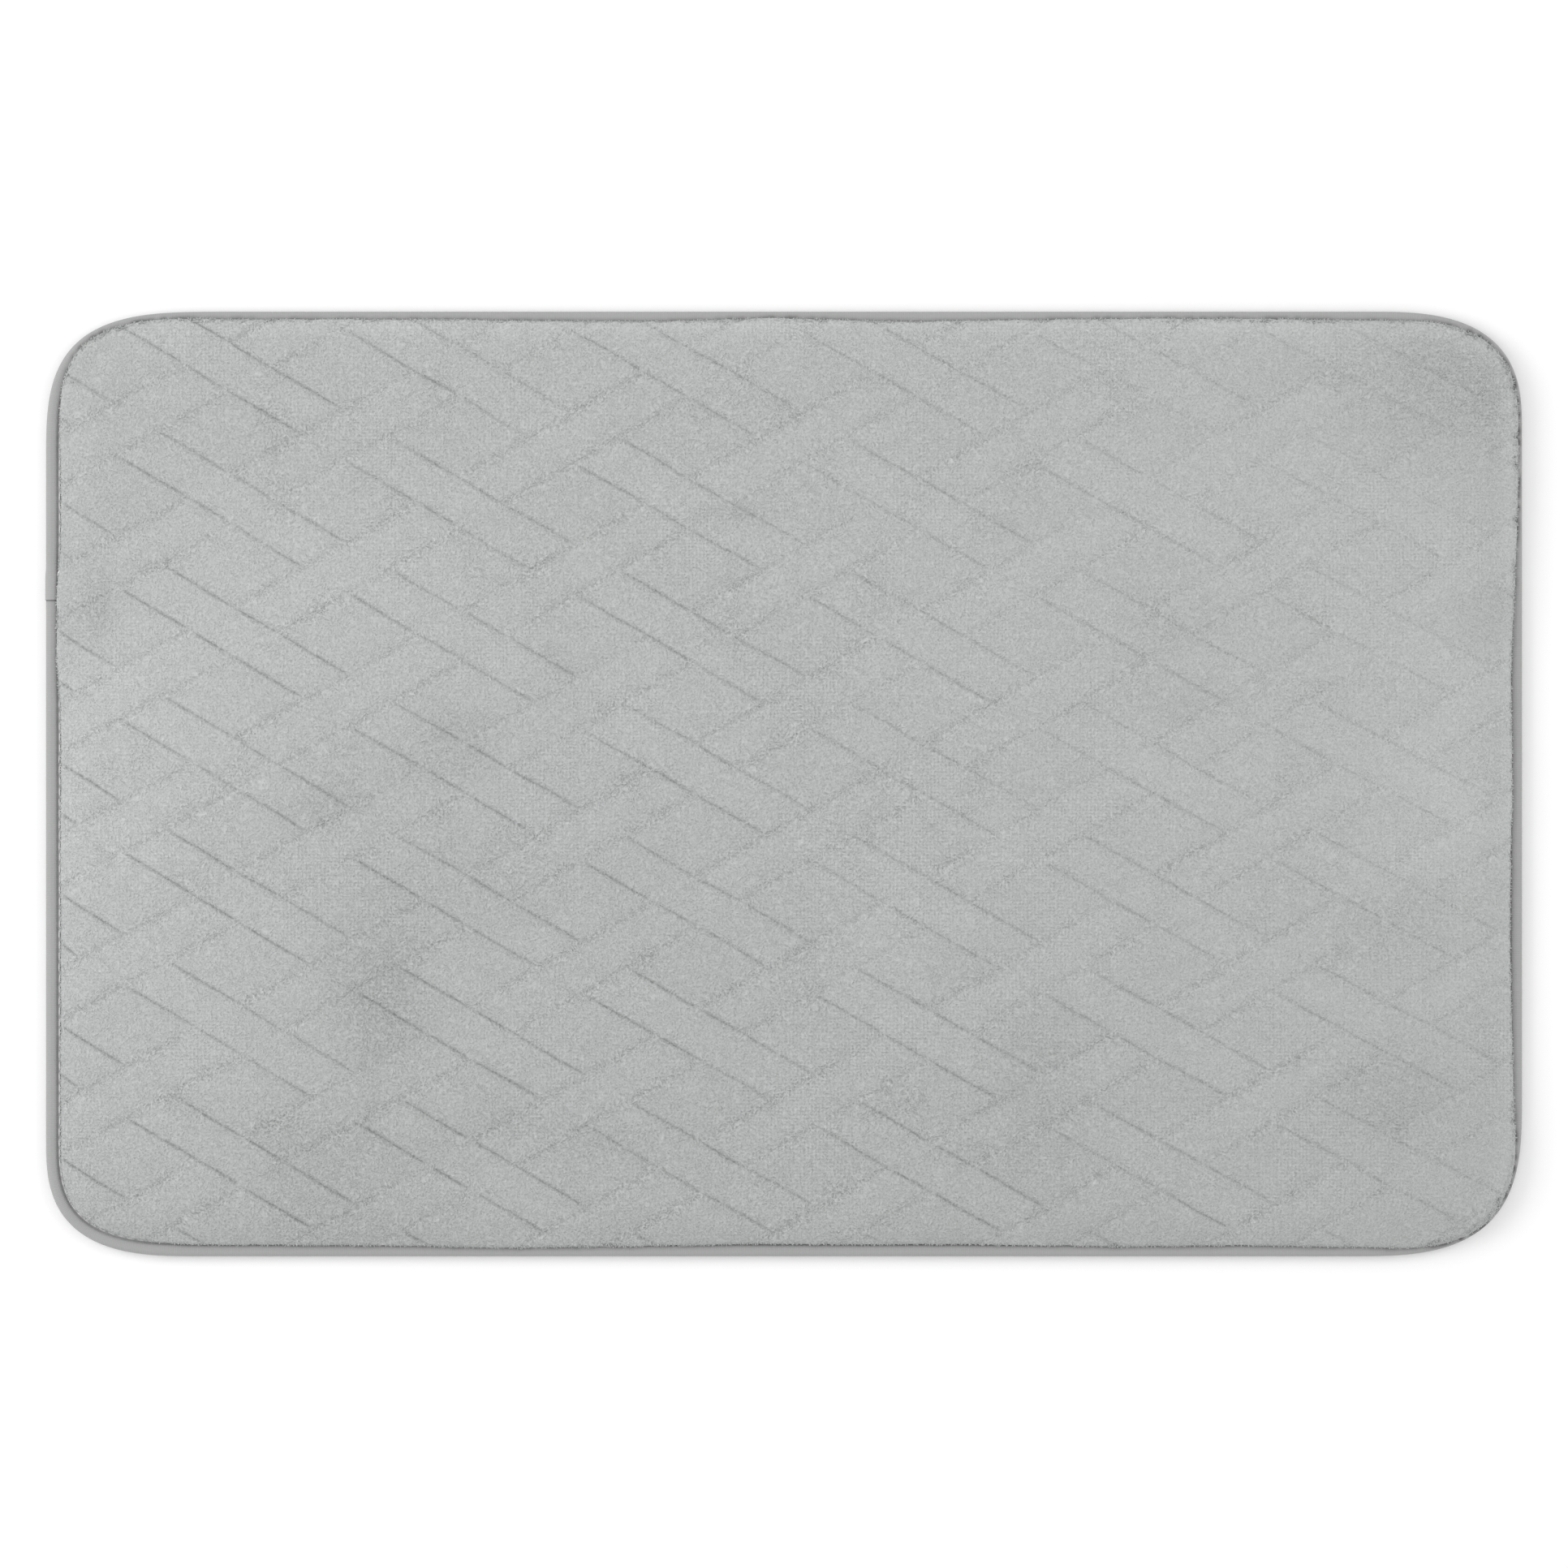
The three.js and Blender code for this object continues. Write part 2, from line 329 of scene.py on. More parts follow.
def pile_material(pile, colours):
    """Short curly pile on a fine knit. Its strands drift in direction and part along the grooves."""
    g = Graph("plush_pile")
    vector, (x, y, _) = g.place()
    drifting = g.drifted(g.drifted(vector, 0.011, 0.005), 0.0036, 0.0022)
    strands = g.spread(g.noise(drifting, 0.00105, 1.5, 0.5), 0.27, 0.73)
    tips = g.spread(g.noise(vector, 0.0007, 1.0, 0.5), 0.25, 0.75)
    clumps = g.spread(g.noise(g.drifted(vector, 0.009, 0.004), 0.0036, 2.0, 0.55), 0.3, 0.7)
    wobble = g.noise(vector, 0.02, 1.0)
    wales = (x * (2 * math.pi / pile.wale) + wobble * 3.0).sine()
    courses = (y * (2 * math.pi / (pile.wale * 0.93)) + wobble * 4.0).sine()
    knit_shows = g.spread(g.noise(vector, 0.045, 2.0), 0.38, 0.7)
    parted, groove = g.attribute("parted"), g.attribute("groove")
    rougher = g.spread(g.noise(vector, 0.028, 2.0), 0.55, 0.8)
    contrast = 1.06 - g.spread(x, 0.0, 0.3) * 0.26 + parted * 1.0 + rougher * 0.6
    tone = 1.0 + (strands - 0.5) * contrast * 0.28 + (tips - 0.5) * 0.22 + (clumps - 0.5) * 0.035
    # The tone read from the mesh here holds patches of brushing together with painted light and shade.
    tone = tone + (wales + courses) * knit_shows * 0.04 + parted * 0.03 + g.attribute("nap")
    tone = tone + (g.noise(g.stretched(vector, (0.25, 1.0, 1.0)), 0.012, 2.0) - 0.5) * 0.03
    gaps = g.spread(g.noise(g.stretched(vector, (0.4, 1.0, 1.0)), 0.0021, 1.0), 0.62, 0.72)
    tone = tone - gaps * parted * 0.11
    # Painted shade in the grooves, broken up by the strands, partly also the pressed pile's own darker
    # look.
    painted_groove_shade = (groove * (1.35 - strands * 0.8)).clamped()
    colour = g.mixed(painted_groove_shade, colours.pile, colours.groove)
    height = strands * (contrast * 0.6) + tips * 0.25 + clumps * 0.2
    return g.finish(
        g.shaded(colour, tone), 0.93 + strands * 0.05, height, 0.0006,
        sheen_weight=0.15, sheen_roughness=0.5, specular_ior_level=0.1,
    )


def tape_material(tape, colours):
    """Woven binding tape: fine ribs across it, a plain selvedge and a little fuzz."""
    g = Graph("binding_tape")
    _, (along, across, _) = g.uv("tape")
    place, _ = g.place()
    drift = g.noise(place, 0.004, 1.0)
    ribs = ((along * (2 * math.pi / tape.rib)) + drift * 1.2).sine() * 0.5 + 0.5
    yarns = (across * (2 * math.pi / (tape.rib * 0.62))).sine() * 0.5 + 0.5
    fuzz = g.noise(place, 0.0006, 2.0, 0.6)
    wear = g.noise(place, 0.03, 2.0)
    painted_tape_shade = g.attribute("painted_tape_shade")
    tone = 0.93 + ribs * 0.07 + yarns * 0.03 + (fuzz - 0.5) * 0.10 + (wear - 0.5) * 0.06
    # Painted shade on the tape: in the seam's crease, by the pile's edge, under the lapped end and
    # under the overhanging pile.
    tone = tone * (1.0 - painted_tape_shade * 0.45)
    height = ribs * 0.6 + yarns * 0.25 + fuzz * 0.3
    return g.finish(
        g.shaded(colours.tape, tone), 0.78 + fuzz * 0.12, height, 0.00012,
        sheen_weight=0.15, sheen_roughness=0.4, specular_ior_level=0.25,
    )


def thread_material(colours):
    """Two-ply sewing thread, its plies turning round each other."""
    g = Graph("sewing_thread")
    _, (around, along, _) = g.uv("stitch")
    place, _ = g.place()
    plies = ((around * 2.0 + along * 7.0) * (2 * math.pi)).sine() * 0.5 + 0.5
    fuzz = g.noise(place, 0.0003, 1.0)
    tone = 0.82 + plies * 0.16 + (fuzz - 0.5) * 0.12
    return g.finish(
        g.shaded(colours.thread, tone), 0.5 + fuzz * 0.2, plies, 0.00008,
        sheen_weight=0.2, specular_ior_level=0.35,
    )


def foam_material(colours):
    """Slow foam: open cells of several sizes, a little yellower where air has aged it."""
    g = Graph("slow_foam")
    vector, _ = g.place()
    small, large = g.cells(vector, 0.0008), g.cells(vector, 0.0021)
    ageing = g.noise(vector, 0.05, 3.0)
    tone = 0.86 + small * 0.12 + large * 0.08
    yellower = tuple(part * kept for part, kept in zip(colours.foam, (1, 0.93, 0.8)))
    aged = g.mixed(g.spread(ageing, 0.35, 0.75), colours.foam, yellower)
    height = small * 0.6 + large * 0.6
    return g.finish(g.shaded(aged, tone), 0.9 + small * 0.08, height, 0.0005, specular_ior_level=0.1)


def backing_material(colours):
    """Fine warp-knitted cloth, seen on the underside between the grip dots."""
    g = Graph("backing_knit")
    vector, (x, y, _) = g.place()
    loop_wide, loop_high = 0.0011, 0.0013
    wobble = g.noise(vector, 0.01, 1.0) * 1.5
    columns = (x * (2 * math.pi / loop_wide) + wobble).sine()
    chevrons = ((y + g.math("PINGPONG", x, loop_wide) * 0.6) * (2 * math.pi / loop_high)).sine()
    knit = columns * 0.25 + chevrons * 0.25 + 0.5
    fuzz = g.noise(vector, 0.0008, 2.0)
    tone = 0.86 + knit * 0.12 + (fuzz - 0.5) * 0.12 + (g.noise(vector, 0.09) - 0.5) * 0.06
    height = knit * 0.7 + fuzz * 0.3
    roughness = 0.82 + fuzz * 0.12
    return g.finish(g.shaded(colours.backing, tone), roughness, height, 0.00025, sheen_weight=0.1)


def dot_material(colours):
    """Soft milky plastic, moulded with a slightly pitted skin."""
    g = Graph("grip_dots")
    vector, _ = g.place()
    pits = g.noise(vector, 0.0007, 2.0, 0.6)
    batch = g.noise(vector, 0.02, 1.0)
    tone = 0.94 + (pits - 0.5) * 0.08 + (batch - 0.5) * 0.08
    roughness = 0.42 + pits * 0.22
    return g.finish(g.shaded(colours.dot, tone), roughness, pits, 0.0001, specular_ior_level=0.45)


def label_material(colours):
    """Plain satin ribbon with a woven edge."""
    g = Graph("label_satin")
    vector, (_, y, _) = g.place()
    float_pitch = 0.0005
    floats = (y * (2 * math.pi / float_pitch)).sine() * 0.5 + 0.5
    middle = (LABEL_LOW.y + LABEL_HIGH.y) / 2
    edge_distance = (LABEL_HIGH.y - LABEL_LOW.y) / 2 - g.math("ABSOLUTE", y - middle)
    selvedge = 1.0 - g.spread(edge_distance, 0.0006, 0.0016)
    creases = g.noise(g.stretched(vector, (1.0, 4.0, 1.0)), 0.02, 2.0)
    tone = 0.93 + floats * 0.05 - selvedge * 0.08 + (creases - 0.5) * 0.06
    roughness = 0.32 + selvedge * 0.3 + floats * 0.06
    return g.finish(g.shaded(colours.label, tone), roughness, floats, 0.00004, sheen_weight=0.1)


def floor_material(colours):
    """Pale matt board."""
    g = Graph("pale_floor")
    vector, _ = g.place()
    tone = 1.0 + (g.noise(vector, 0.4, 2.0) - 0.5) * 0.004
    return g.finish(g.shaded(colours.floor, tone), 0.95, specular_ior_level=0.0)


# ---------------------------------------------------------------- the outline and the weave


class Rim:
    """The mat's outline, anticlockwise from above, in metres along it from the tape's joint."""

    CORNER_POINTS = 200
    SAMPLE = 0.0005

    def __init__(self, outline):
        corners = (
            (1, 1, outline.back_right), (-1, 1, outline.back_left),
            (-1, -1, outline.front_left), (1, -1, outline.front_right),
        )
        points, normals = [], []
        for side_x, side_y, (reach_x, reach_y, power) in corners:
            turned = np.linspace(0, 1, self.CORNER_POINTS)
            angle = (turned if side_x == side_y else 1 - turned) * (math.pi / 2)
            along_x, along_y = np.cos(angle).clip(0), np.sin(angle).clip(0)
            x = outline.length / 2 - reach_x * (1 - along_x ** (2 / power))
            y = outline.width / 2 - reach_y * (1 - along_y ** (2 / power))
            out = np.stack([
                side_x * along_x ** (2 - 2 / power) / reach_x,
                side_y * along_y ** (2 - 2 / power) / reach_y,
            ], axis=1)
            points.append(np.stack([side_x * x, side_y * y], axis=1))
            normals.append(out / np.linalg.norm(out, axis=1, keepdims=True))
        self.points = np.concatenate(points + [points[0][:1]])
        self.normals = np.concatenate(normals + [normals[0][:1]])
        steps = np.linalg.norm(np.diff(self.points, axis=0), axis=1)
        self.arc = np.concatenate([[0.0], np.cumsum(steps)])
        self.length = self.arc[-1]
        self.start = 0.0
        self.along = np.arange(0, self.length, self.SAMPLE)
        joint = np.array([-outline.length / 2, outline.joint_y])
        self.start = self.along[np.argmin(np.linalg.norm(self.at(self.along) - joint, axis=1))]
        self.tree = kdtree.KDTree(len(self.along))
        for index, point in enumerate(self.at(self.along).tolist()):
            self.tree.insert((*point, 0.0), index)
        self.tree.balance()

    def _read(self, values, along):
        arc = (self.start + np.asarray(along)) % self.length
        return np.stack([np.interp(arc, self.arc, values[:, axis]) for axis in (0, 1)], axis=-1)

    def at(self, along):
        return self._read(self.points, along)

    def out(self, along):
        out = self._read(self.normals, along)
        return out / np.linalg.norm(out, axis=-1, keepdims=True)

    def find(self, places):
        """For each place, how far along the rim it is, and how far inside it."""
        found = [self.tree.find((x, y, 0.0))[1] for x, y in places.tolist()]
        along = self.along[np.array(found)]
        away = self.at(along) - places
        inset = (away * self.out(along)).sum(axis=1)
        sideways = np.stack([-self.out(along)[:, 1], self.out(along)[:, 0]], axis=1)
        return along - (away * sideways).sum(axis=1), inset

    def stations(self, step):
        """Evenly spaced places, about a step apart."""
        count = round(self.length / step)
        return np.arange(count) * (self.length / count)

    def between(self, values, along):
        """values of evenly spaced stations, read at other places."""
        stations = np.arange(len(values)) * self.length / len(values)
        return np.interp(along, stations, values, period=self.length)


class Weave:
    """The embossed lattice: strips in two directions that go over and under each other in turn."""

    def __init__(self, pile, outline):
        self.half = np.array([pile.lattice_x, pile.lattice_y])
        self.crossing = np.array(pile.crossing[:2])
        self.strip, self.lean, self.bow = pile.strip, pile.lean, pile.bow
        self.lean_level, self.rise, self.wander = 0.03, 0.0006, 0.0005
        self.bow_reach = 0.41 * outline.length
        self.pitch = 2 * self.half[0] * self.half[1] / np.linalg.norm(self.half)
        self.pile = pile

    def _shift(self, places):
        x, y = places[..., 0], places[..., 1]
        bow = self.bow * np.abs(x / self.bow_reach) ** 3
        wander = [self.wander * soft_noise(places, 0.022, seed) for seed in (13, 14)]
        sideways = self.lean * (self.lean_level - y) + wander[0]
        return np.stack([sideways, self.rise + bow + wander[1]], axis=-1)

    def coordinates(self, places):
        """Strips that fall to the right lie at whole numbers of the second, the others of the first."""
        across, up = ((places - self._shift(places) - self.crossing) / self.half).T
        return (across - up) / 2, (across + up) / 2

    def place(self, first, second):
        flat = self.crossing + np.stack([first + second, second - first], axis=-1) * self.half
        places = flat
        for _ in range(4):
            places = flat + self._shift(places)
        return places

    def borders(self, first, second):
        """Distances to the nearest border that shows, of the falling strips and of the rising ones."""
        near_first, near_second = np.round(first), np.round(second)
        off_first, off_second = np.abs(first - near_first), np.abs(second - near_second)
        rising_over = (near_first + near_second) % 2 == 0
        falling = np.abs(off_second - self.strip) * self.pitch
        rising = np.abs(off_first - self.strip) * self.pitch
        falling[rising_over & (off_first < self.strip)] = 1.0
        rising[~rising_over & (off_second < self.strip)] = 1.0
        return falling, rising

    def grooves(self, places):
        """At each place, the relief's height, the painted shade that darkens a groove and how far the
        pile is parted.
        """
        first, second = self.coordinates(places)
        falling, rising = self.borders(first, second)
        hidden_rising = np.abs(np.abs(first - np.round(first)) - self.strip) * self.pitch
        closed = 1 - 0.85 * bell(hidden_rising, 0.0024)
        crisp = bell(falling, self.pile.crisp_width) * closed
        soft = bell(rising, self.pile.soft_width)
        rightward = self.rightward(places)
        worn = rightward.clip(0, 1)
        uneven = 1 + 0.35 * soft_noise(places, 0.028, 11)
        pressed = ((0.70 - 0.32 * rightward - 0.08 * worn) * uneven).clip(0.12, 1)
        # How much painted shade the soft grooves get.
        painted_soft_shade = ((0.32 - 0.14 * worn) * uneven).clip(0.08, 1)
        lip = bell(falling - 0.0013, 0.0008) * closed * 0.00012
        nearest = np.minimum(falling, rising)
        crown = -0.0005 * np.exp(-((nearest / 0.0045) ** 1.5)) * (0.6 + 0.4 * pressed)
        height = crown + lip - crisp * self.pile.crisp_depth * pressed - soft * self.pile.soft_depth
        # Painted shade in the grooves, stronger where the pile was pressed harder.
        dark = np.maximum(crisp * 0.6 * pressed, soft * 0.24 * painted_soft_shade)
        loose = (0.6 + 0.4 * soft_noise(places, 0.02, 12)) * (1 - 0.3 * worn)
        loose_falling = loose * (0.35 + 0.3 * rightward).clip(0, 1)
        parted = bell(rising, self.pile.parted) * loose
        parted = np.maximum(parted, bell(falling, self.pile.parted) * loose_falling)
        return height, dark, parted.clip(0, 1)

    def rightward(self, places):
        """From -1 at the front left to 1 at the back right, where the relief is worn fainter."""
        return ((places[:, 0] + places[:, 1] * 0.6) / 0.35).clip(-1, 1)

    def cells(self, places):
        """How far inside a diamond between the strips each place lies, stronger to the right."""
        off = [np.abs(part - np.round(part)) - self.strip for part in self.coordinates(places)]
        inside = (np.minimum(*off) * self.pitch / 0.004).clip(0, 1)
        uneven = 1 + 0.8 * soft_noise(places, 0.045, 15)
        return inside * (0.65 + 0.35 * self.rightward(places)) * uneven

    def lines(self, step, offsets):
        """The visible borders as rows of places, each repeated at the offsets to either side."""
        rows = []
        reach = range(-9, 10)
        count = round(2 * np.linalg.norm(self.half) / step)
        for strip in reach:
            for start in reach:
                rising_over = (strip + start) % 2 == 0
                ends = np.linspace(start + self.strip, start + 2 - self.strip, count)
                for side in (-self.strip, self.strip):
                    for offset in offsets:
                        level = np.full_like(ends, strip + side + offset / self.pitch)
                        rows.append(self.place(ends, level) if rising_over else self.place(level, ends))
        return rows


def eased(share):
    """A share from 0 to 1 that starts and ends gently."""
    return share * share * (3 - 2 * share)


def bell(distance, width):
    """1 where the distance is nothing, falling smoothly to almost nothing at twice the width."""
    return np.exp(-((distance / width) ** 2))


def soft_noise(places, size, seed):
    """Smooth random heights from -1 to 1, the same each time for one seed."""
    table = np.random.default_rng(seed).uniform(-1, 1, (64, 64))
    cell = np.floor(places / size).astype(int)
    inside = eased(places / size - cell)
    i, j, u, v = cell[..., 0], cell[..., 1], inside[..., 0], inside[..., 1]
    low = table[i % 64, j % 64] * (1 - u) + table[(i + 1) % 64, j % 64] * u
    high = table[i % 64, (j + 1) % 64] * (1 - u) + table[(i + 1) % 64, (j + 1) % 64] * u
    return low * (1 - v) + high * v


# ---------------------------------------------------------------- meshes


def make_object(name, points, faces):
    mesh = bpy.data.meshes.new(name)
    mesh.from_pydata(points.tolist(), [], [list(face) for face in faces])
    mesh.validate()
    mesh.polygons.foreach_set("use_smooth", [True] * len(mesh.polygons))
    piece = bpy.data.objects.new(name, mesh)
    bpy.context.scene.collection.objects.link(piece)
    return piece


def set_number(piece, name, values):
    layer = piece.data.attributes.new(name, "FLOAT", "POINT")
    layer.data.foreach_set("value", values.astype(np.float32))


def set_map(piece, name, values):
    """A UV map from one pair of numbers for each corner of each face."""
    layer = piece.data.uv_layers.new(name=name)
    layer.uv.foreach_set("vector", values.astype(np.float32).ravel())


def repeated(faces, size, count):
    """The faces of a shape of size points, for count copies of it one after another."""
    return [tuple(point + size * copy for point in face) for copy in range(count) for face in faces]


def staggered(rim, pitch, row_pitch):
    """Places all over the outline, every other row moved by half a pitch."""
    half_x, half_y = rim.points.max(axis=0)
    rows = np.arange(-half_y, half_y, row_pitch)
    x, y = np.meshgrid(np.arange(-half_x, half_x, pitch), rows)
    x = x + (np.arange(len(rows)) % 2)[:, None] * pitch / 2
    return np.stack([x.ravel(), y.ravel()], axis=1)


EDGE_CLEARANCE = 0.0004  # no inner point lies nearer to the outer ring of a layer


def fill_outline(rim, stations, insets, grid, lines=(), clear=None):
    """Triangles that fill the outline: rings of points at the insets, a grid inside them, and rows of
    points whose edges are kept. The first points are the outer ring, in order."""
    outer = rim.at(stations) - rim.out(stations) * insets[0]
    count = len(outer)
    places = [outer]
    for inset in insets[1:]:
        places.append(rim.at(stations) - rim.out(stations) * inset)
    inner = staggered(rim, grid, grid * 0.866)
    inner = inner[rim.find(inner)[1] > insets[-1] + grid * 0.6]
    if clear is not None:
        inner = inner[clear(inner)]
    places.append(inner)
    edges = [(i, (i + 1) % count) for i in range(count)]
    total = sum(len(group) for group in places)
    for row in lines:
        inside = rim.find(row)[1] > insets[0] + EDGE_CLEARANCE
        if not inside.any():
            continue
        places.append(row)
        kept = [i for i in range(len(row) - 1) if inside[i] and inside[i + 1]]
        edges += [(total + i, total + i + 1) for i in kept]
        total += len(row)
    flat = np.concatenate(places) / MM
    keep = np.ones(len(flat), bool)
    keep[count:] = rim.find(flat[count:] * MM)[1] > insets[0] + EDGE_CLEARANCE
    renumber = np.cumsum(keep) - 1
    edges = [(int(renumber[a]), int(renumber[b])) for a, b in edges if keep[a] and keep[b]]
    corners = [Vector(place) for place in flat[keep].tolist()]
    found, _, faces, sources, _, _ = delaunay_2d_cdt(corners, edges, [], 1, 1e-3, True)
    found = np.array([tuple(point) for point in found]) * MM
    place_of = np.full(count, -1)
    for index, source in enumerate(sources):
        for number in source:
            if number < count:
                place_of[number] = index
    order = np.concatenate([place_of, np.setdiff1d(np.arange(len(found)), place_of)])
    new_number = np.empty(len(found), int)
    new_number[order] = np.arange(len(found))
    return found[order], new_number[np.array(faces)]


def closed_layer(name, top, bottom, top_faces, bottom_faces, ring):
    """One closed piece from an upper and a lower surface that share their outer ring of points."""
    lower = np.where(bottom_faces < ring, bottom_faces, bottom_faces + len(top) - ring)
    points = np.concatenate([top, bottom[ring:]])
    return make_object(name, points, np.concatenate([top_faces, lower[:, ::-1]]))


def lift(places, heights):
    return np.concatenate([places, heights[:, None]], axis=1)


def quarter_round(inset, start, end, low, high):
    """Height of a surface that comes up from low at start to high at end."""
    share = ((inset - start) / (end - start)).clip(0, 1)
    return low + (high - low) * np.sqrt(1 - (1 - share) ** 2)


def sweep(name, rim, stations, section, map_name):
    """A closed section led round the rim. section is [station, point, (inset, height)]."""
    at, out = rim.at(stations)[:, None], rim.out(stations)[:, None]
    plan = at - out * section[:, :, :1]
    points = np.concatenate([plan, section[:, :, 1:]], axis=2).reshape(-1, 3)
    turns, sides = section.shape[:2]
    turn, side = np.meshgrid(np.arange(turns), np.arange(sides), indexing="ij")
    next_turn, next_side = (turn + 1) % turns, (side + 1) % sides
    quads = [(turn, side), (next_turn, side), (next_turn, next_side), (turn, next_side)]
    faces = np.stack([row * sides + column for row, column in quads], axis=-1).reshape(-1, 4)
    piece = make_object(name, points, faces)
    along = np.append(stations, rim.length)
    steps = np.linalg.norm(np.diff(section[0], axis=0, append=section[0][:1]), axis=1)
    across = np.concatenate([[0.0], np.cumsum(steps)])
    quads = [(turn, side), (turn + 1, side), (turn + 1, side + 1), (turn, side + 1)]
    uv = [np.stack([along[row], across[column]], axis=-1) for row, column in quads]
    set_map(piece, map_name, np.stack(uv, axis=2).reshape(-1, 2))
    return piece


def smooth_curve(controls, count):
    """Points evenly spaced along a smooth curve through the controls, for each row of them."""
    rows, last = len(controls), controls.shape[1] - 1
    padded = np.concatenate([controls[:, :1], controls, controls[:, -1:]], axis=1)
    t = np.linspace(0, 1, 8, endpoint=False)[None, :, None]
    spans = []
    for k in range(last):
        a, b, c, d = (padded[:, k + i][:, None] for i in range(4))
        square, cube = 2 * a - 5 * b + 4 * c - d, 3 * b - a - 3 * c + d
        spans.append(0.5 * (2 * b + (c - a) * t + square * t ** 2 + cube * t ** 3))
    dense = np.concatenate(spans + [controls[:, -1:]], axis=1)
    gone = np.linalg.norm(np.diff(dense, axis=1), axis=2).cumsum(axis=1)
    gone = np.concatenate([np.zeros((rows, 1)), gone / gone[:, -1:]], axis=1)
    wanted = np.linspace(0, 1, count)
    return np.array([
        [np.interp(wanted, gone[row], dense[row, :, axis]) for axis in (0, 1)] for row in range(rows)
    ]).transpose(0, 2, 1)


def tube(points, radius, sides):
    """A thin closed tube along a few points: its points and faces."""
    points = np.array(points)
    along = np.gradient(points, axis=0)
    along /= np.linalg.norm(along, axis=1, keepdims=True)
    first = np.cross(along, (0.3, 0.2, 1.0))
    first /= np.linalg.norm(first, axis=1, keepdims=True)
    second = np.cross(along, first)
    angle = np.arange(sides) * (2 * math.pi / sides)
    round_it = first[:, None] * np.cos(angle)[:, None] + second[:, None] * np.sin(angle)[:, None]
    thick = radius * np.sqrt(1 - np.linspace(-0.93, 0.93, len(points)) ** 6)
    rings = (points[:, None] + round_it * thick[:, None, None]).reshape(-1, 3)
    faces = []
    for ring in range(len(points) - 1):
        for side in range(sides):
            a, b = ring * sides + side, ring * sides + (side + 1) % sides
            faces.append((a, b, b + sides, a + sides))
    faces.append(tuple(reversed(range(sides))))
    faces.append(tuple(range(len(rings) - sides, len(rings))))
    return rings, faces


def finish_piece(piece, material, replaced=None):
    piece.data.materials.clear()
    piece.data.materials.append(material)
    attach(piece, "root")
    if replaced:
        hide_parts(replaced)
    return piece


# ---------------------------------------------------------------- how the pile meets the tape


def in_line(stations):
    """Stations as places, so that soft noise can be read along them."""
    return np.stack([stations, stations * 0], axis=1)


def tape_showing(rim, along):
    """How much of the tape shows at each station, from the places listed at the top."""
    listed = np.array(TAPE_SHOWING, float)
    where = rim.find(listed[:, :2] * MM)[0] % rim.length
    order = np.argsort(where)
    return np.interp(along, where[order], listed[order, 2] * MM, period=rim.length)


def softened(values, reach):
    """values of evenly spaced stations round the rim, averaged over reach stations each way."""
    padded = np.concatenate([values[-reach:], values, values[:reach]])
    return np.convolve(padded, np.ones(2 * reach + 1) / (2 * reach + 1), "valid")


def pile_sections(showing, tape, shoulder):
    """The cut through the pile's edge at each station: out from under the tape, over it as far as it
    spills, round its nose and up over the shoulder."""
    s, tape_top, top = showing, EDGE_HIGH.z, PILE_HIGH.z
    root = tape.cover + ROOT_GAP
    flat = np.zeros_like(s)
    spilling = ((root - 0.0008 - s) / 0.001).clip(0, 1)
    controls = [
        (root + flat, tape_top - 0.0015 + flat),
        (root - 0.0002 + flat, tape_top + 0.0001 + flat),
        (np.minimum(root - 0.0001, s + 0.0016), tape_top + 0.0004 + 0.0004 * (1 - spilling)),
        (s + 0.00035, tape_top + 0.0007 + 0.0004 * (1 - spilling)),
        (s, tape_top + 0.0017 + flat),
        (s + 0.0010, tape_top + 0.0032 + flat),
        (s * 0.8 + 0.0044, tape_top + 0.0046 + flat),
        (0.0132 + flat, top - 0.0015 + flat),
        (0.0185 + flat, top - 0.0004 + flat),
        (shoulder + flat, top + flat),
    ]
    return by_inset(smooth_curve(np.array(controls).transpose(2, 0, 1), 160), s + 0.0016, shoulder)


def by_inset(sections, handover, shoulder):
    """The same cuts, with their points spaced so that past the handover each lies straight over its
    place in the flat cloth, and the roll before it takes up the rest."""
    wanted = np.linspace(-SPARE, shoulder, 120)
    result = []
    for cut, limit in zip(sections, handover):
        steps = np.linalg.norm(np.diff(cut, axis=0), axis=1)
        gone = np.concatenate([[0.0], np.cumsum(steps)])
        nose = np.argmin(cut[:, 0])
        past = nose + np.argmax(cut[nose:, 0] > limit)
        flat = cut[:, 0].copy()
        flat[:past] = -SPARE + gone[:past] / gone[past] * (cut[past, 0] + SPARE)
        result.append([np.interp(wanted, flat, cut[:, axis]) for axis in (0, 1)])
    return np.array(result).transpose(0, 2, 1)


# ---------------------------------------------------------------- operators


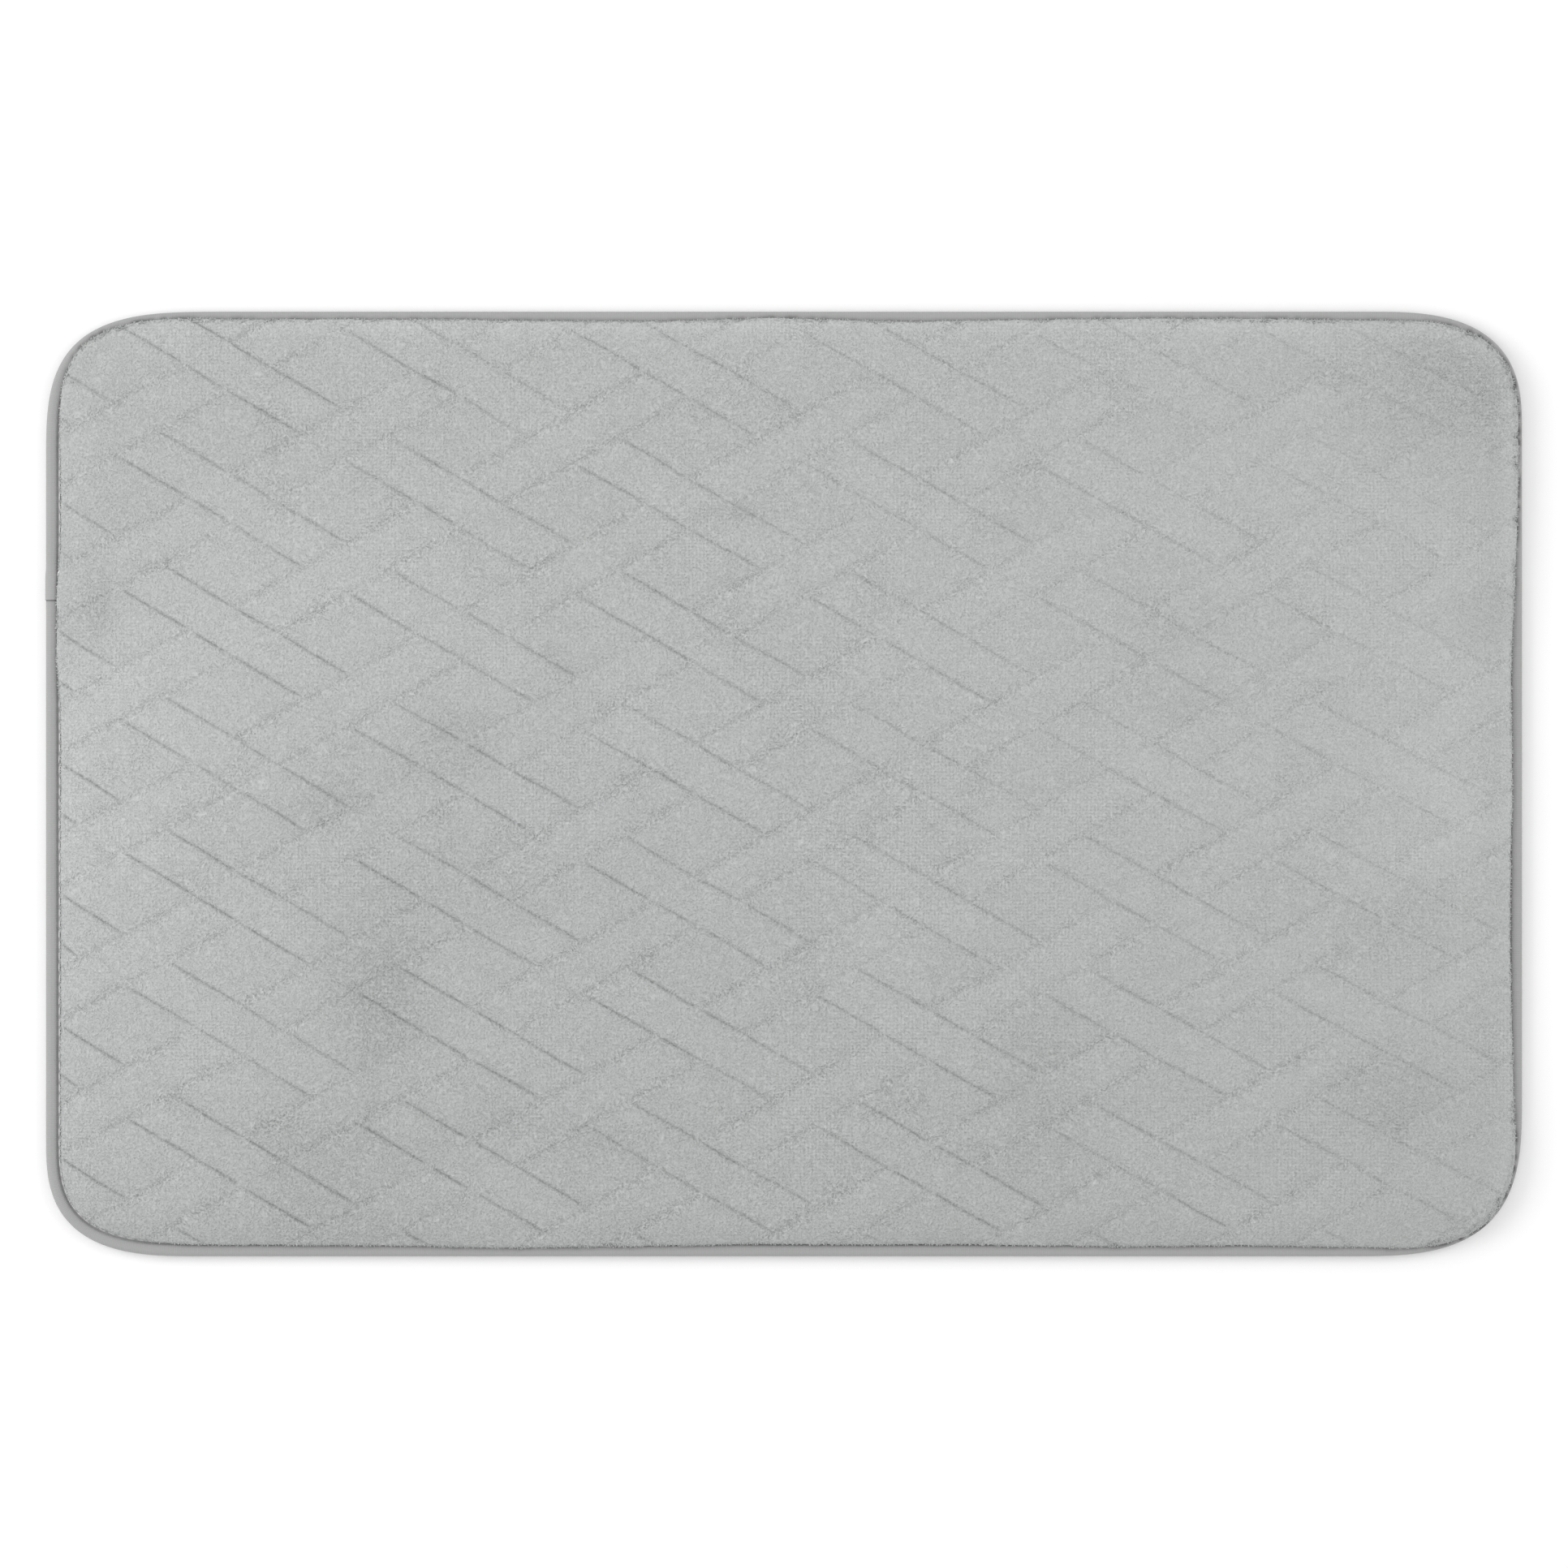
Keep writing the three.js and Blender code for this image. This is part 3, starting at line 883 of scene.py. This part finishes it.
class MAT_OT_stage(bpy.types.Operator):
    """Lay the pale floor, light it softly and set the camera straight over the mat"""

    bl_idname = "mat.stage"
    bl_label = "Stage"

    FLOOR_GAP = 0.0002
    SOFTBOX_SIDE = 2.2
    KEY_PLACE, FILL_PLACE = Vector((-2.4, 0.4, 1.7)), Vector((2.4, 0.6, 1.7))

    def execute(self, context):
        scene, sizes = context.scene, context.scene.mat_stage
        bpy.ops.object.select_all(action="DESELECT")
        bpy.ops.mesh.primitive_plane_add(size=sizes.floor, location=(0, 0, -self.FLOOR_GAP))
        floor = context.object
        floor.name = "floor"
        bpy.ops.object.transform_apply(location=True, rotation=True, scale=True)
        floor.data.materials.append(floor_material(scene.mat_colours))

        world = bpy.data.worlds.new("studio")
        world.use_nodes = True
        background = world.node_tree.nodes["Background"]
        background.inputs["Color"].default_value = (1.0, 1.0, 1.0, 1.0)
        background.inputs["Strength"].default_value = sizes.sky
        scene.world = world
        scene.view_settings.view_transform = "Standard"

        self.softbox("key", sizes.key_watts, self.KEY_PLACE)
        self.softbox("fill", sizes.fill_watts, self.FILL_PLACE)

        camera = bpy.data.cameras.new("camera")
        camera.lens, camera.sensor_width = sizes.lens_mm, 36.0
        camera.clip_start, camera.clip_end = 0.05, 50.0
        camera_object = bpy.data.objects.new("camera", camera)
        camera_object.location = (0.0, 0.0, sizes.camera_height)
        scene.collection.objects.link(camera_object)
        scene.camera = camera_object
        return {"FINISHED"}

    def softbox(self, name, watts, place):
        """A large square light that faces the mat."""
        light = bpy.data.lights.new(name, "AREA")
        light.shape, light.size, light.energy = "SQUARE", self.SOFTBOX_SIDE, watts
        holder = bpy.data.objects.new(name, light)
        holder.location = place
        holder.rotation_euler = place.to_track_quat("Z", "Y").to_euler()
        bpy.context.scene.collection.objects.link(holder)


class MAT_OT_pile_face(bpy.types.Operator):
    """Make the embossed plush cloth, rounded down at its edge and spilling a little over the tape"""

    bl_idname = "mat.pile_face"
    bl_label = "Pile face"

    # Rings of points round the edge, as shares of the way from the outline to the end of the shoulder.
    RINGS = (
        0.0, 0.02, 0.04, 0.06, 0.08, 0.1, 0.12, 0.145, 0.17, 0.2,
        0.235, 0.27, 0.31, 0.36, 0.42, 0.5, 0.6, 0.72, 0.86, 1.0,
    )
    BORDER_ROWS = (-0.0014, -0.0006, 0.0, 0.0006, 0.0014)  # rows of points to either side of a border
    BORDER_ROOM = 0.0009                                   # from the last of them to the plain grid
    UNDER_RINGS = (CLOTH_RISE[0], 0.012, 0.0145, 0.018, 0.022, 0.026)
    # The cloth's own unevenness: height, size of a hump and seed.
    HUMPS = ((0.00022, 0.013, 1), (0.00012, 0.005, 2), (0.0003, 0.06, 4))
    TUFT_PITCH = 0.00045
    TUFT_ROOT = 0.0006  # how deep a tuft starts inside the cloth

    def execute(self, context):
        scene = context.scene
        pile, tape = scene.mat_pile, scene.mat_tape
        rim = Rim(scene.mat_outline)
        weave = Weave(pile, scene.mat_outline)
        stations = rim.stations(0.0021)
        insets = [q * (pile.shoulder + SPARE) - SPARE for q in self.RINGS]
        borders = weave.lines(0.003, self.BORDER_ROWS)

        def clear(places):
            nearest = np.minimum(*weave.borders(*weave.coordinates(places)))
            return nearest > self.BORDER_ROWS[-1] + self.BORDER_ROOM

        flat, faces = fill_outline(rim, stations, insets, pile.grid, borders, clear)
        showing = softened(tape_showing(rim, stations), 5)
        showing = showing + 0.00022 * soft_noise(in_line(stations), 0.006, 3)
        sections = pile_sections(showing, tape, pile.shoulder)
        top = self.rounded(rim, flat, sections, pile, weave, showing)
        ring = len(stations)

        under_insets = (tape.cover + ROOT_GAP, *self.UNDER_RINGS)
        low_flat, low_faces = fill_outline(rim, stations, under_insets, 0.02)
        _, inset = rim.find(low_flat)
        foam_edge = EDGE_HIGH.z - 0.0025
        heights = quarter_round(inset, *CLOTH_RISE, foam_edge, FOAM_HIGH.z + 0.0003)
        piece = closed_layer("plush_face", top[0], lift(low_flat, heights), faces, low_faces, ring)
        spare = len(low_flat) - ring
        for name, values in top[1].items():
            set_number(piece, name, np.concatenate([values, np.zeros(spare)]))
        finish_piece(piece, pile_material(pile, scene.mat_colours), "pile_face")
        self.tufts(scene, rim, sections)
        return {"FINISHED"}

    def rounded(self, rim, flat, sections, pile, weave, showing):
        """The flat cloth bent down along its edge, with its relief, and how each point looks."""
        along, inset = rim.find(flat)
        share = (inset + SPARE) / (pile.shoulder + SPARE)
        place, normal = read_sections(rim, sections, along, share)
        inner = share >= 1
        place[inner] = lift(flat[inner], np.full(inner.sum(), PILE_HIGH.z))
        normal[inner] = (0, 0, 1)
        height, dark, parted = weave.grooves(flat)
        relief = sum(high * soft_noise(flat, size, seed) for high, size, seed in self.HUMPS) + height
        fading = ((inset - rim.between(showing, along) + 0.001) / 0.003).clip(0, 1)
        nap, ruffled = brushed_and_painted_light(rim, flat, along, inset)
        nap = nap + 0.005 - 0.02 * weave.cells(flat)
        parted = np.maximum(parted, ruffled) * fading
        looks = {"groove": dark * fading, "parted": parted, "nap": nap}
        return place + normal * (relief * fading)[:, None], looks

    def tufts(self, scene, rim, sections):
        """Rows of soft tufts that lean out of the pile's edge over the tape."""
        random = np.random.default_rng(7)
        length = scene.mat_pile.tuft
        count = round(rim.length / self.TUFT_PITCH)
        along = random.uniform(0, rim.length, count)
        noses = sections[:, :, 0].argmin(axis=1) / (sections.shape[1] - 1)
        start = rim.between(noses, along) + random.uniform(-0.015, 0.07, count)
        base, normal = read_sections(rim, sections, along, start)
        lean = random.normal(0, 0.3, (count, 3))
        lean[:, 2] -= 0.2
        direction = normal + lean
        direction /= np.linalg.norm(direction, axis=1, keepdims=True)
        long = length * random.uniform(0.5, 1.0, count)[:, None]
        side = np.cross(direction, random.normal(0, 1, (count, 3)))
        side /= np.linalg.norm(side, axis=1, keepdims=True)
        other = np.cross(direction, side)
        thick = random.uniform(0.00022, 0.0005, count)[:, None]
        bend = side * long * random.uniform(0.0, 0.35, count)[:, None]
        base = base - normal * self.TUFT_ROOT
        rings = []
        for reached, fullness in ((0.0, 0.9), (0.45, 1.0), (0.85, 0.6)):
            centre = base + direction * long * reached + bend * reached ** 2
            for angle in (0.0, math.pi / 2, math.pi, 1.5 * math.pi):
                outward = side * math.cos(angle) + other * math.sin(angle)
                rings.append(centre + outward * thick * fullness)
        corners = rings + [base + direction * long + bend]
        turns = [(k, (k + 1) % 4) for k in range(4)]
        faces = [(3, 2, 1, 0)]
        faces += [(ring + a, ring + b, ring + 4 + b, ring + 4 + a) for ring in (0, 4) for a, b in turns]
        faces += [(8 + a, 8 + b, 12) for a, b in turns]
        points = np.stack(corners, axis=1).reshape(-1, 3)
        piece = make_object("edge_tufts", points, repeated(faces, len(corners), count))
        nap = random.uniform(-0.03, 0.06, count)
        set_number(piece, "nap", np.repeat(nap, len(corners)))
        finish_piece(piece, pile_material(scene.mat_pile, scene.mat_colours))
        return [piece]


def brushed_and_painted_light(rim, places, along, inset):
    """Change of tone at each place, partly from brushing of the pile and partly painted light and
    shade, and how much it is ruffled there.
    """
    drift = np.stack([soft_noise(places, 0.03, 41), soft_noise(places, 0.03, 42)], axis=1) * 0.008
    seen = places + drift
    tone = np.zeros(len(places))
    for x, y, reach_x, reach_y, change in BRUSHED_AND_SHADED_PATCHES:
        away = ((seen - (x * MM, y * MM)) / (reach_x * MM, reach_y * MM)) ** 2
        tone += change * np.exp(-away.sum(axis=1) ** 1.3)
    ruffled = (-4.5 * tone).clip(0, 0.5)
    tone += 0.012 * soft_noise(places, 0.035, 43) + 0.010 * soft_noise(places, 0.012, 44)
    # Painted light and shade: darker towards the front.
    tone += 0.17 * places[:, 1] - 0.5 * places[:, 1] ** 2
    out = rim.out(along)
    # Painted highlight on the pile's edge where it faces right and back.
    turned = (1.1 * out[:, 0] + 0.8 * out[:, 1]).clip(0, 1)
    tone += 0.09 * turned * bell(inset - 0.006, 0.0055)
    # Painted shade on the pile just inside its left edge.
    tone -= 0.06 * (-out[:, 0]).clip(0, 1) * bell(inset - 0.0095, 0.004)
    return tone, ruffled


def read_sections(rim, sections, along, share):
    """Points and outward directions on the pile's edge, at shares of its section."""
    rows, columns = sections.shape[:2]
    row = (along / rim.length * rows) % rows
    column = (share * (columns - 1)).clip(0, columns - 1 - 1e-6)
    r, c = np.floor(row).astype(int) % rows, np.floor(column).astype(int)
    fr, fc = (row - np.floor(row))[:, None], (column - c)[:, None]
    after = (r + 1) % rows
    start = sections[r, c] * (1 - fr) + sections[after, c] * fr
    end = sections[r, c + 1] * (1 - fr) + sections[after, c + 1] * fr
    cut = start * (1 - fc) + end * fc
    before = np.maximum(c - 1, 0)
    beyond = np.minimum(c + 2, columns - 1)
    run = sections[r, beyond] - sections[r, before]
    run /= np.linalg.norm(run, axis=1, keepdims=True)
    at, out = rim.at(along), rim.out(along)
    place = lift(at - out * cut[:, :1], cut[:, 1])
    normal = np.concatenate([out * run[:, 1:], run[:, :1]], axis=1)
    return place, normal


class MAT_OT_foam_core(bpy.types.Operator):
    """Make the foam slab, squeezed thin where the binding holds it"""

    bl_idname = "mat.foam_core"
    bl_label = "Foam core"

    def execute(self, context):
        scene = context.scene
        rim, cover = Rim(scene.mat_outline), scene.mat_tape.cover
        stations = rim.stations(0.004)
        squeezed_low, squeezed_high = 0.0022, EDGE_HIGH.z - 0.0028
        rings = (
            EDGE_ROOM, 0.0018, 0.005, cover + GRIP_END, cover + 0.002,
            FOAM_RISE[0], 0.0118, 0.0135, 0.016, 0.0195, 0.025,
        )
        flat, faces = fill_outline(rim, stations, rings, 0.009)
        _, inset = rim.find(flat)
        dimples = 0.00008 * soft_noise(flat, 0.02, 5) * (inset > 0.026)
        top = quarter_round(inset, *FOAM_RISE, squeezed_high, FOAM_HIGH.z) + dimples
        held = 1 - ((inset - cover - GRIP_END) / 0.001).clip(0, 1)
        bottom = FOAM_LOW.z + (squeezed_low - FOAM_LOW.z) * held
        middle = (squeezed_low + squeezed_high) / 2
        ring = len(stations)
        top[:ring] = middle
        piece = closed_layer("foam_slab", lift(flat, top), lift(flat, bottom), faces, faces, ring)
        finish_piece(piece, foam_material(scene.mat_colours), "foam_core")
        return {"FINISHED"}


class MAT_OT_grip_backing(bpy.types.Operator):
    """Make the knitted backing, drawn up at its edge into the binding"""

    bl_idname = "mat.grip_backing"
    bl_label = "Grip backing"

    def execute(self, context):
        scene = context.scene
        rim, cover, cloth = Rim(scene.mat_outline), scene.mat_tape.cover, scene.mat_backing.cloth
        stations = rim.stations(0.004)
        edge_level, open_level = 0.0014, scene.mat_backing.dot_height
        rings = (
            EDGE_ROOM, 0.005, cover + GRIP_END, cover + 0.0012, cover + 0.0018, 0.0095, 0.012, 0.016,
        )
        flat, faces = fill_outline(rim, stations, rings, 0.006)
        _, inset = rim.find(flat)
        share = eased(((inset - cover - GRIP_END) / 0.002).clip(0, 1))
        puckers = 0.00006 * soft_noise(flat, 0.015, 6) * share
        under = edge_level + (open_level - edge_level) * share + puckers
        upper, lower = lift(flat, under + cloth), lift(flat, under)
        piece = closed_layer("backing_cloth", upper, lower, faces, faces, len(stations))
        finish_piece(piece, backing_material(scene.mat_colours), "grip_backing")
        return {"FINISHED"}


class MAT_OT_grip_dots(bpy.types.Operator):
    """Make the moulded grip dots, staggered all over the underside except below the label"""

    bl_idname = "mat.grip_dots"
    bl_label = "Grip dots"

    TAPE_MARGIN = 0.0035   # from the tape to the nearest middle of a dot
    LABEL_MARGIN = 0.0008  # from the label to the nearest dot

    def execute(self, context):
        scene = context.scene
        sizes, rim = scene.mat_backing, Rim(scene.mat_outline)
        bpy.ops.object.select_all(action="DESELECT")
        bpy.ops.mesh.primitive_cylinder_add(
            vertices=10, radius=sizes.dot_radius, depth=sizes.dot_height, end_fill_type="NGON",
            location=(0, 0, sizes.dot_height / 2),
        )
        dot = context.object
        bpy.ops.object.transform_apply(location=True, rotation=True, scale=True)
        bpy.ops.object.mode_set(mode="EDIT")
        bpy.ops.mesh.select_all(action="DESELECT")
        bpy.ops.object.mode_set(mode="OBJECT")
        for face in dot.data.polygons:
            face.select = face.normal.z < -0.9
        bpy.ops.object.mode_set(mode="EDIT")
        bpy.ops.mesh.select_mode(type="FACE")
        bpy.ops.mesh.bevel(offset=sizes.dot_height * 0.55, segments=1, affect="EDGES")
        bpy.ops.object.mode_set(mode="OBJECT")
        shape = np.array([tuple(v.co) for v in dot.data.vertices])
        faces = [tuple(face.vertices) for face in dot.data.polygons]
        bpy.data.objects.remove(dot)

        pitch = sizes.dot_pitch
        places = staggered(rim, pitch, pitch * math.sqrt(3) / 2)
        places = places[rim.find(places)[1] > scene.mat_tape.cover + self.TAPE_MARGIN]
        spare = self.LABEL_MARGIN + sizes.dot_radius
        x, y = places.T
        beside = (y > LABEL_LOW.y - spare) & (y < LABEL_HIGH.y + spare)
        places = places[~(beside & (x < LABEL_HIGH.x + spare))]
        wide = np.random.default_rng(21).uniform(0.94, 1.06, len(places))
        copies = shape[None] * np.stack([wide, wide, np.ones_like(wide)], axis=1)[:, None]
        copies = copies + lift(places, np.zeros(len(places)))[:, None]
        all_faces = repeated(faces, len(shape), len(places))
        piece = make_object("grip_dots", copies.reshape(-1, 3), all_faces)
        bpy.ops.object.select_all(action="DESELECT")
        piece.select_set(True)
        context.view_layer.objects.active = piece
        bpy.ops.object.shade_smooth_by_angle(angle=math.radians(50))
        finish_piece(piece, dot_material(scene.mat_colours))
        return {"FINISHED"}


class MAT_OT_edge_binding(bpy.types.Operator):
    """Fold the tape round the edge, pulled in by its stitches, its ends lapped on the left side"""

    bl_idname = "mat.edge_binding"
    bl_label = "Edge binding"

    LAP_HEIGHT = 0.0007  # what the upper end adds where it lies over the lower one

    def execute(self, context):
        scene = context.scene
        tape, rim = scene.mat_tape, Rim(scene.mat_outline)
        near_joint = np.array([0.00004, 0.0004, 0.0009])
        stations = rim.stations(0.0013)
        stations = np.sort(np.concatenate([stations[1:], near_joint, rim.length - near_joint]))
        section, painted_tape_shade = self.section(tape, rim, stations)
        piece = sweep("binding_tape", rim, stations, section, "tape")
        set_number(piece, "painted_tape_shade", painted_tape_shade.ravel())
        finish_piece(piece, tape_material(tape, scene.mat_colours), "edge_binding")
        return {"FINISHED"}

    def section(self, tape, rim, stations):
        """The folded tape's closed cut at each station, underside first, and how much painted shade
        each point gets.
        """
        high, cover, seam, thick = EDGE_HIGH.z, tape.cover, tape.seam, tape.thickness
        count = len(stations)
        strained = np.cos(stations * (2 * math.pi / tape.stitch)) * 0.5 + 0.5
        spots = in_line(stations)
        slack = soft_noise(spots, 0.045, 8) * 0.0002
        puffed = soft_noise(spots, 0.02, 9) * 0.00012 + soft_noise(spots, 0.006, 10) * 0.00005
        pull = 0.00036 + 0.00014 * strained
        doubled = self.doubled(rim, stations, tape)
        zero = np.zeros(count)
        # From the free edge to the fold: distance from the rim, drop and how much painted shade it
        # gets, in its crease and by the pile.
        shape = (
            (cover, 0.0004, 0.3), (seam + 0.0004, 0.0003, 0.0), (seam, 0.0, 0.0),
            (seam - 0.00045, 0.0002, 0.2), (seam - 0.0008, 0.00045, 0.35),
            (seam - 0.00105, 0.00024, 0.1), (seam - 0.0015, 0.00012, 0.0),
            (0.0042, 0.00003, 0.0), (0.0027, 0.0, 0.0), (0.0015, 0.0003, 0.0),
            (0.0006, 0.0011, 0.0), (0.00015, 0.0021, 0.0),
        )

        def leg(side):
            """One leg from its free edge to the fold: side is -1 under the mat and 1 over it."""
            level = high if side > 0 else 0.0
            cut = []
            for number, (inset, drop, _) in enumerate(shape):
                into = drop + (pull if 2 <= number <= 5 else zero)
                loose = slack if number == 0 else zero
                swell = puffed * (0.7 if 6 <= number <= 10 else 0.0)
                rounder = 0.5 * doubled * min(1.0, max(0.0, (0.0015 - inset) / 0.0015))
                extra = doubled * (0.0024 - drop) / 0.0024 * (1.0 if side > 0 else 0.3)
                cut.append((inset + loose - rounder, level - side * into + side * (extra + swell)))
            return cut

        def inner_leg(side):
            inside = (high if side > 0 else 0.0) - side * thick
            return [
                (cover + slack, inside + zero),
                (seam - 0.0006 + zero, inside - side * 0.0003 + zero),
                (0.0042 + zero, inside + zero),
                (thick + 0.0004 + zero, inside - side * 0.0002 + zero),
            ]

        outside = leg(-1) + [(zero - 0.5 * doubled, high / 2 + zero)] + leg(1)[::-1]
        inside = inner_leg(1) + inner_leg(-1)[::-1]
        section = np.array(outside + inside).transpose(2, 0, 1)
        section[:, :, 1] = np.maximum(section[:, :, 1], 0.00003)
        dark = [value for _, _, value in shape]
        painted_tape_shade = np.array(dark + [0.0] + dark[::-1] + [0.0] * len(inside))
        # Painted shadow where the upper end of the tape lies over the lower one.
        painted_lap_shadow = 1.3 * bell(stations, 0.0006)
        showing = tape_showing(rim, stations)[:, None]
        # Painted shadow on the tape under the pile's overhanging edge.
        painted_overhang_shadow = 1.1 * ((0.0055 - showing) / 0.003).clip(0, 1) * (section[..., 1] > high / 2)
        painted_overhang_shadow = painted_overhang_shadow * (0.85 + 0.85 * soft_noise(spots, 0.0028, 16))[:, None]
        painted_overhang_shadow = painted_overhang_shadow * bell(section[..., 0] - showing, 0.0013)
        return section, painted_tape_shade + painted_lap_shadow[:, None] + painted_overhang_shadow

    def doubled(self, rim, stations, tape):
        """How much thicker the tape is at each station, where one end lies over the other."""
        back = rim.length - stations
        rise = ((tape.lap - back) / (0.4 * tape.lap)).clip(0, 1)
        return self.LAP_HEIGHT * eased(rise)


def seam_stitches(scene, level, facing, seed):
    """The visible half of every stitch of the seam, on the face (facing 1) or the underside (-1)."""
    tape, rim = scene.mat_tape, Rim(scene.mat_outline)
    radius, long = tape.thread / 2, tape.stitch * tape.stitch_share
    bpy.ops.object.select_all(action="DESELECT")
    bpy.ops.mesh.primitive_uv_sphere_add(segments=8, ring_count=8, radius=1.0)
    stitch = bpy.context.object
    bpy.ops.object.mode_set(mode="EDIT")
    bpy.ops.mesh.select_all(action="SELECT")
    bpy.ops.transform.resize(value=(radius, radius, long / 2))
    bpy.ops.object.mode_set(mode="OBJECT")
    shape = np.array([tuple(v.co) for v in stitch.data.vertices])
    # Blender lists the faces of this primitive in another order each time, so they are sorted.
    around = stitch.data.uv_layers[0].uv
    listed = sorted(
        (tuple(face.vertices), [tuple(around[corner].vector) for corner in face.loop_indices])
        for face in stitch.data.polygons
    )
    faces = [face for face, _ in listed]
    corner_map = np.array([place for _, places in listed for place in places])
    bpy.data.objects.remove(stitch)

    share = shape[:, 2] / (long / 2)
    round_end = np.sqrt((1 - share ** 2).clip(1e-6))
    fuller = np.where(np.abs(share) > 0.999, 0.0, (1 - share ** 4).clip(0) ** 0.5 / round_end)
    across, upward = shape[:, 0] * fuller, shape[:, 1] * fuller - facing * radius * 1.3 * share ** 4

    random = np.random.default_rng(seed)
    count = round(rim.length / tape.stitch)
    middle = (np.arange(count) + 0.5) * (rim.length / count)
    along = middle[:, None] + shape[None, :, 2] + random.normal(0, 0.00012, (count, 1))
    inset = tape.seam + across[None] + random.normal(0, 0.00006, (count, 1))
    inset = inset + random.normal(0, 0.03, (count, 1)) * shape[None, :, 2]
    plan = rim.at(along) - rim.out(along) * inset[..., None]
    height = np.broadcast_to(level + upward, (count, len(shape)))
    points = np.concatenate([plan, height[..., None]], axis=2).reshape(-1, 3)
    return points, repeated(faces, len(shape), count), np.tile(corner_map, (count, 1))


class MAT_OT_needle_thread(bpy.types.Operator):
    """Sew the upper stitches and leave the thread's cut tail at the tape's joint"""

    bl_idname = "mat.needle_thread"
    bl_label = "Needle thread"

    DEPTH = 0.00012  # how far below the tape's top the stitches' middles lie
    # The cut tail: its places seen from above, and its heights over the seam.
    TAIL = (
        (-0.3440, 0.0983, 0.0), (-0.3438, 0.0990, 0.0012), (-0.3436, 0.1000, 0.0019),
        (-0.3431, 0.1009, 0.0021), (-0.3424, 0.1015, 0.0017),
    )

    def execute(self, context):
        scene = context.scene
        level = EDGE_HIGH.z - self.DEPTH
        points, faces, corner_map = seam_stitches(scene, level, 1, 31)
        tail = [(x, y, level + height) for x, y, height in self.TAIL]
        tail_points, tail_faces = tube(tail, scene.mat_tape.thread * 0.7, 8)
        faces = faces + [tuple(c + len(points) for c in face) for face in tail_faces]
        tail_map = np.zeros((sum(len(face) for face in tail_faces), 2))
        piece = make_object("upper_stitches", np.concatenate([points, tail_points]), faces)
        set_map(piece, "stitch", np.concatenate([corner_map, tail_map]))
        finish_piece(piece, thread_material(scene.mat_colours), "needle_thread")
        return {"FINISHED"}


class MAT_OT_bobbin_thread(bpy.types.Operator):
    """Sew the lower stitches"""

    bl_idname = "mat.bobbin_thread"
    bl_label = "Bobbin thread"

    LEVEL = 0.00040  # height of the stitches' middles over the floor

    def execute(self, context):
        scene = context.scene
        points, faces, corner_map = seam_stitches(scene, self.LEVEL, -1, 32)
        piece = make_object("lower_stitches", points, faces)
        set_map(piece, "stitch", corner_map)
        finish_piece(piece, thread_material(scene.mat_colours), "bobbin_thread")
        return {"FINISHED"}


class MAT_OT_care_label(bpy.types.Operator):
    """Lay the blank satin label under the mat, with its end caught under the tape"""

    bl_idname = "mat.care_label"
    bl_label = "Care label"

    PLY = 0.00012
    HEIGHT, WAVE, CURL = 0.00022, 0.00012, 0.0001  # of its middle, and what its waves and sides add

    def execute(self, context):
        scene = context.scene
        bpy.ops.object.select_all(action="DESELECT")
        bpy.ops.mesh.primitive_plane_add(size=1.0)
        label = context.object
        label.name = "satin_label"
        middle = (LABEL_LOW + LABEL_HIGH) / 2
        bpy.ops.object.mode_set(mode="EDIT")
        bpy.ops.mesh.select_all(action="SELECT")
        bpy.ops.transform.resize(value=(LABEL_HIGH.x - LABEL_LOW.x, LABEL_HIGH.y - LABEL_LOW.y, 1.0))
        bpy.ops.transform.translate(value=middle)
        bpy.ops.mesh.subdivide(number_cuts=24)
        bpy.ops.object.mode_set(mode="OBJECT")
        for vertex in label.data.vertices:
            from_seam = (vertex.co.x - LABEL_LOW.x) / (LABEL_HIGH.x - LABEL_LOW.x)
            across = (vertex.co.y - middle.y) / (LABEL_HIGH.y - LABEL_LOW.y)
            wave = self.WAVE * math.sin(from_seam * 7.0 + across * 4.0)
            vertex.co.z = self.HEIGHT + wave + self.CURL * across ** 2
        solidify = label.modifiers.new("ply", "SOLIDIFY")
        solidify.thickness, solidify.offset = self.PLY, 0.0
        bpy.ops.object.modifier_apply(modifier="ply")
        bpy.ops.object.shade_smooth_by_angle(angle=math.radians(40))
        finish_piece(label, label_material(scene.mat_colours), "care_label")
        return {"FINISHED"}


OPERATORS = (
    MAT_OT_stage, MAT_OT_foam_core, MAT_OT_pile_face, MAT_OT_grip_dots, MAT_OT_grip_backing,
    MAT_OT_edge_binding, MAT_OT_needle_thread, MAT_OT_bobbin_thread, MAT_OT_care_label,
)


class MAT_PT_sidebar(bpy.types.Panel):
    """The mat's sizes and the steps that make it"""

    bl_idname = "MAT_PT_sidebar"
    bl_label = "Bath Mat"
    bl_space_type = "VIEW_3D"
    bl_region_type = "UI"
    bl_category = "Bath Mat"

    def draw(self, context):
        for name, group in PROPERTIES.items():
            box = self.layout.box()
            for field in group.__annotations__:
                box.prop(getattr(context.scene, name), field)
        for operator in OPERATORS:
            self.layout.operator(operator.bl_idname)


CLASSES = (*PROPERTIES.values(), *OPERATORS, MAT_PT_sidebar)


def register():
    for cls in CLASSES:
        bpy.utils.register_class(cls)
    for name, group in PROPERTIES.items():
        setattr(bpy.types.Scene, name, PointerProperty(type=group))


def unregister():
    for name in PROPERTIES:
        delattr(bpy.types.Scene, name)
    for cls in reversed(CLASSES):
        bpy.utils.unregister_class(cls)


def main():
    register()
    bpy.ops.mat.stage()
    bpy.ops.mat.foam_core()
    bpy.ops.mat.pile_face()
    bpy.ops.mat.grip_dots()
    bpy.ops.mat.grip_backing()
    bpy.ops.mat.edge_binding()
    bpy.ops.mat.needle_thread()
    bpy.ops.mat.bobbin_thread()
    bpy.ops.mat.care_label()


if __name__ == "__main__":
    main()
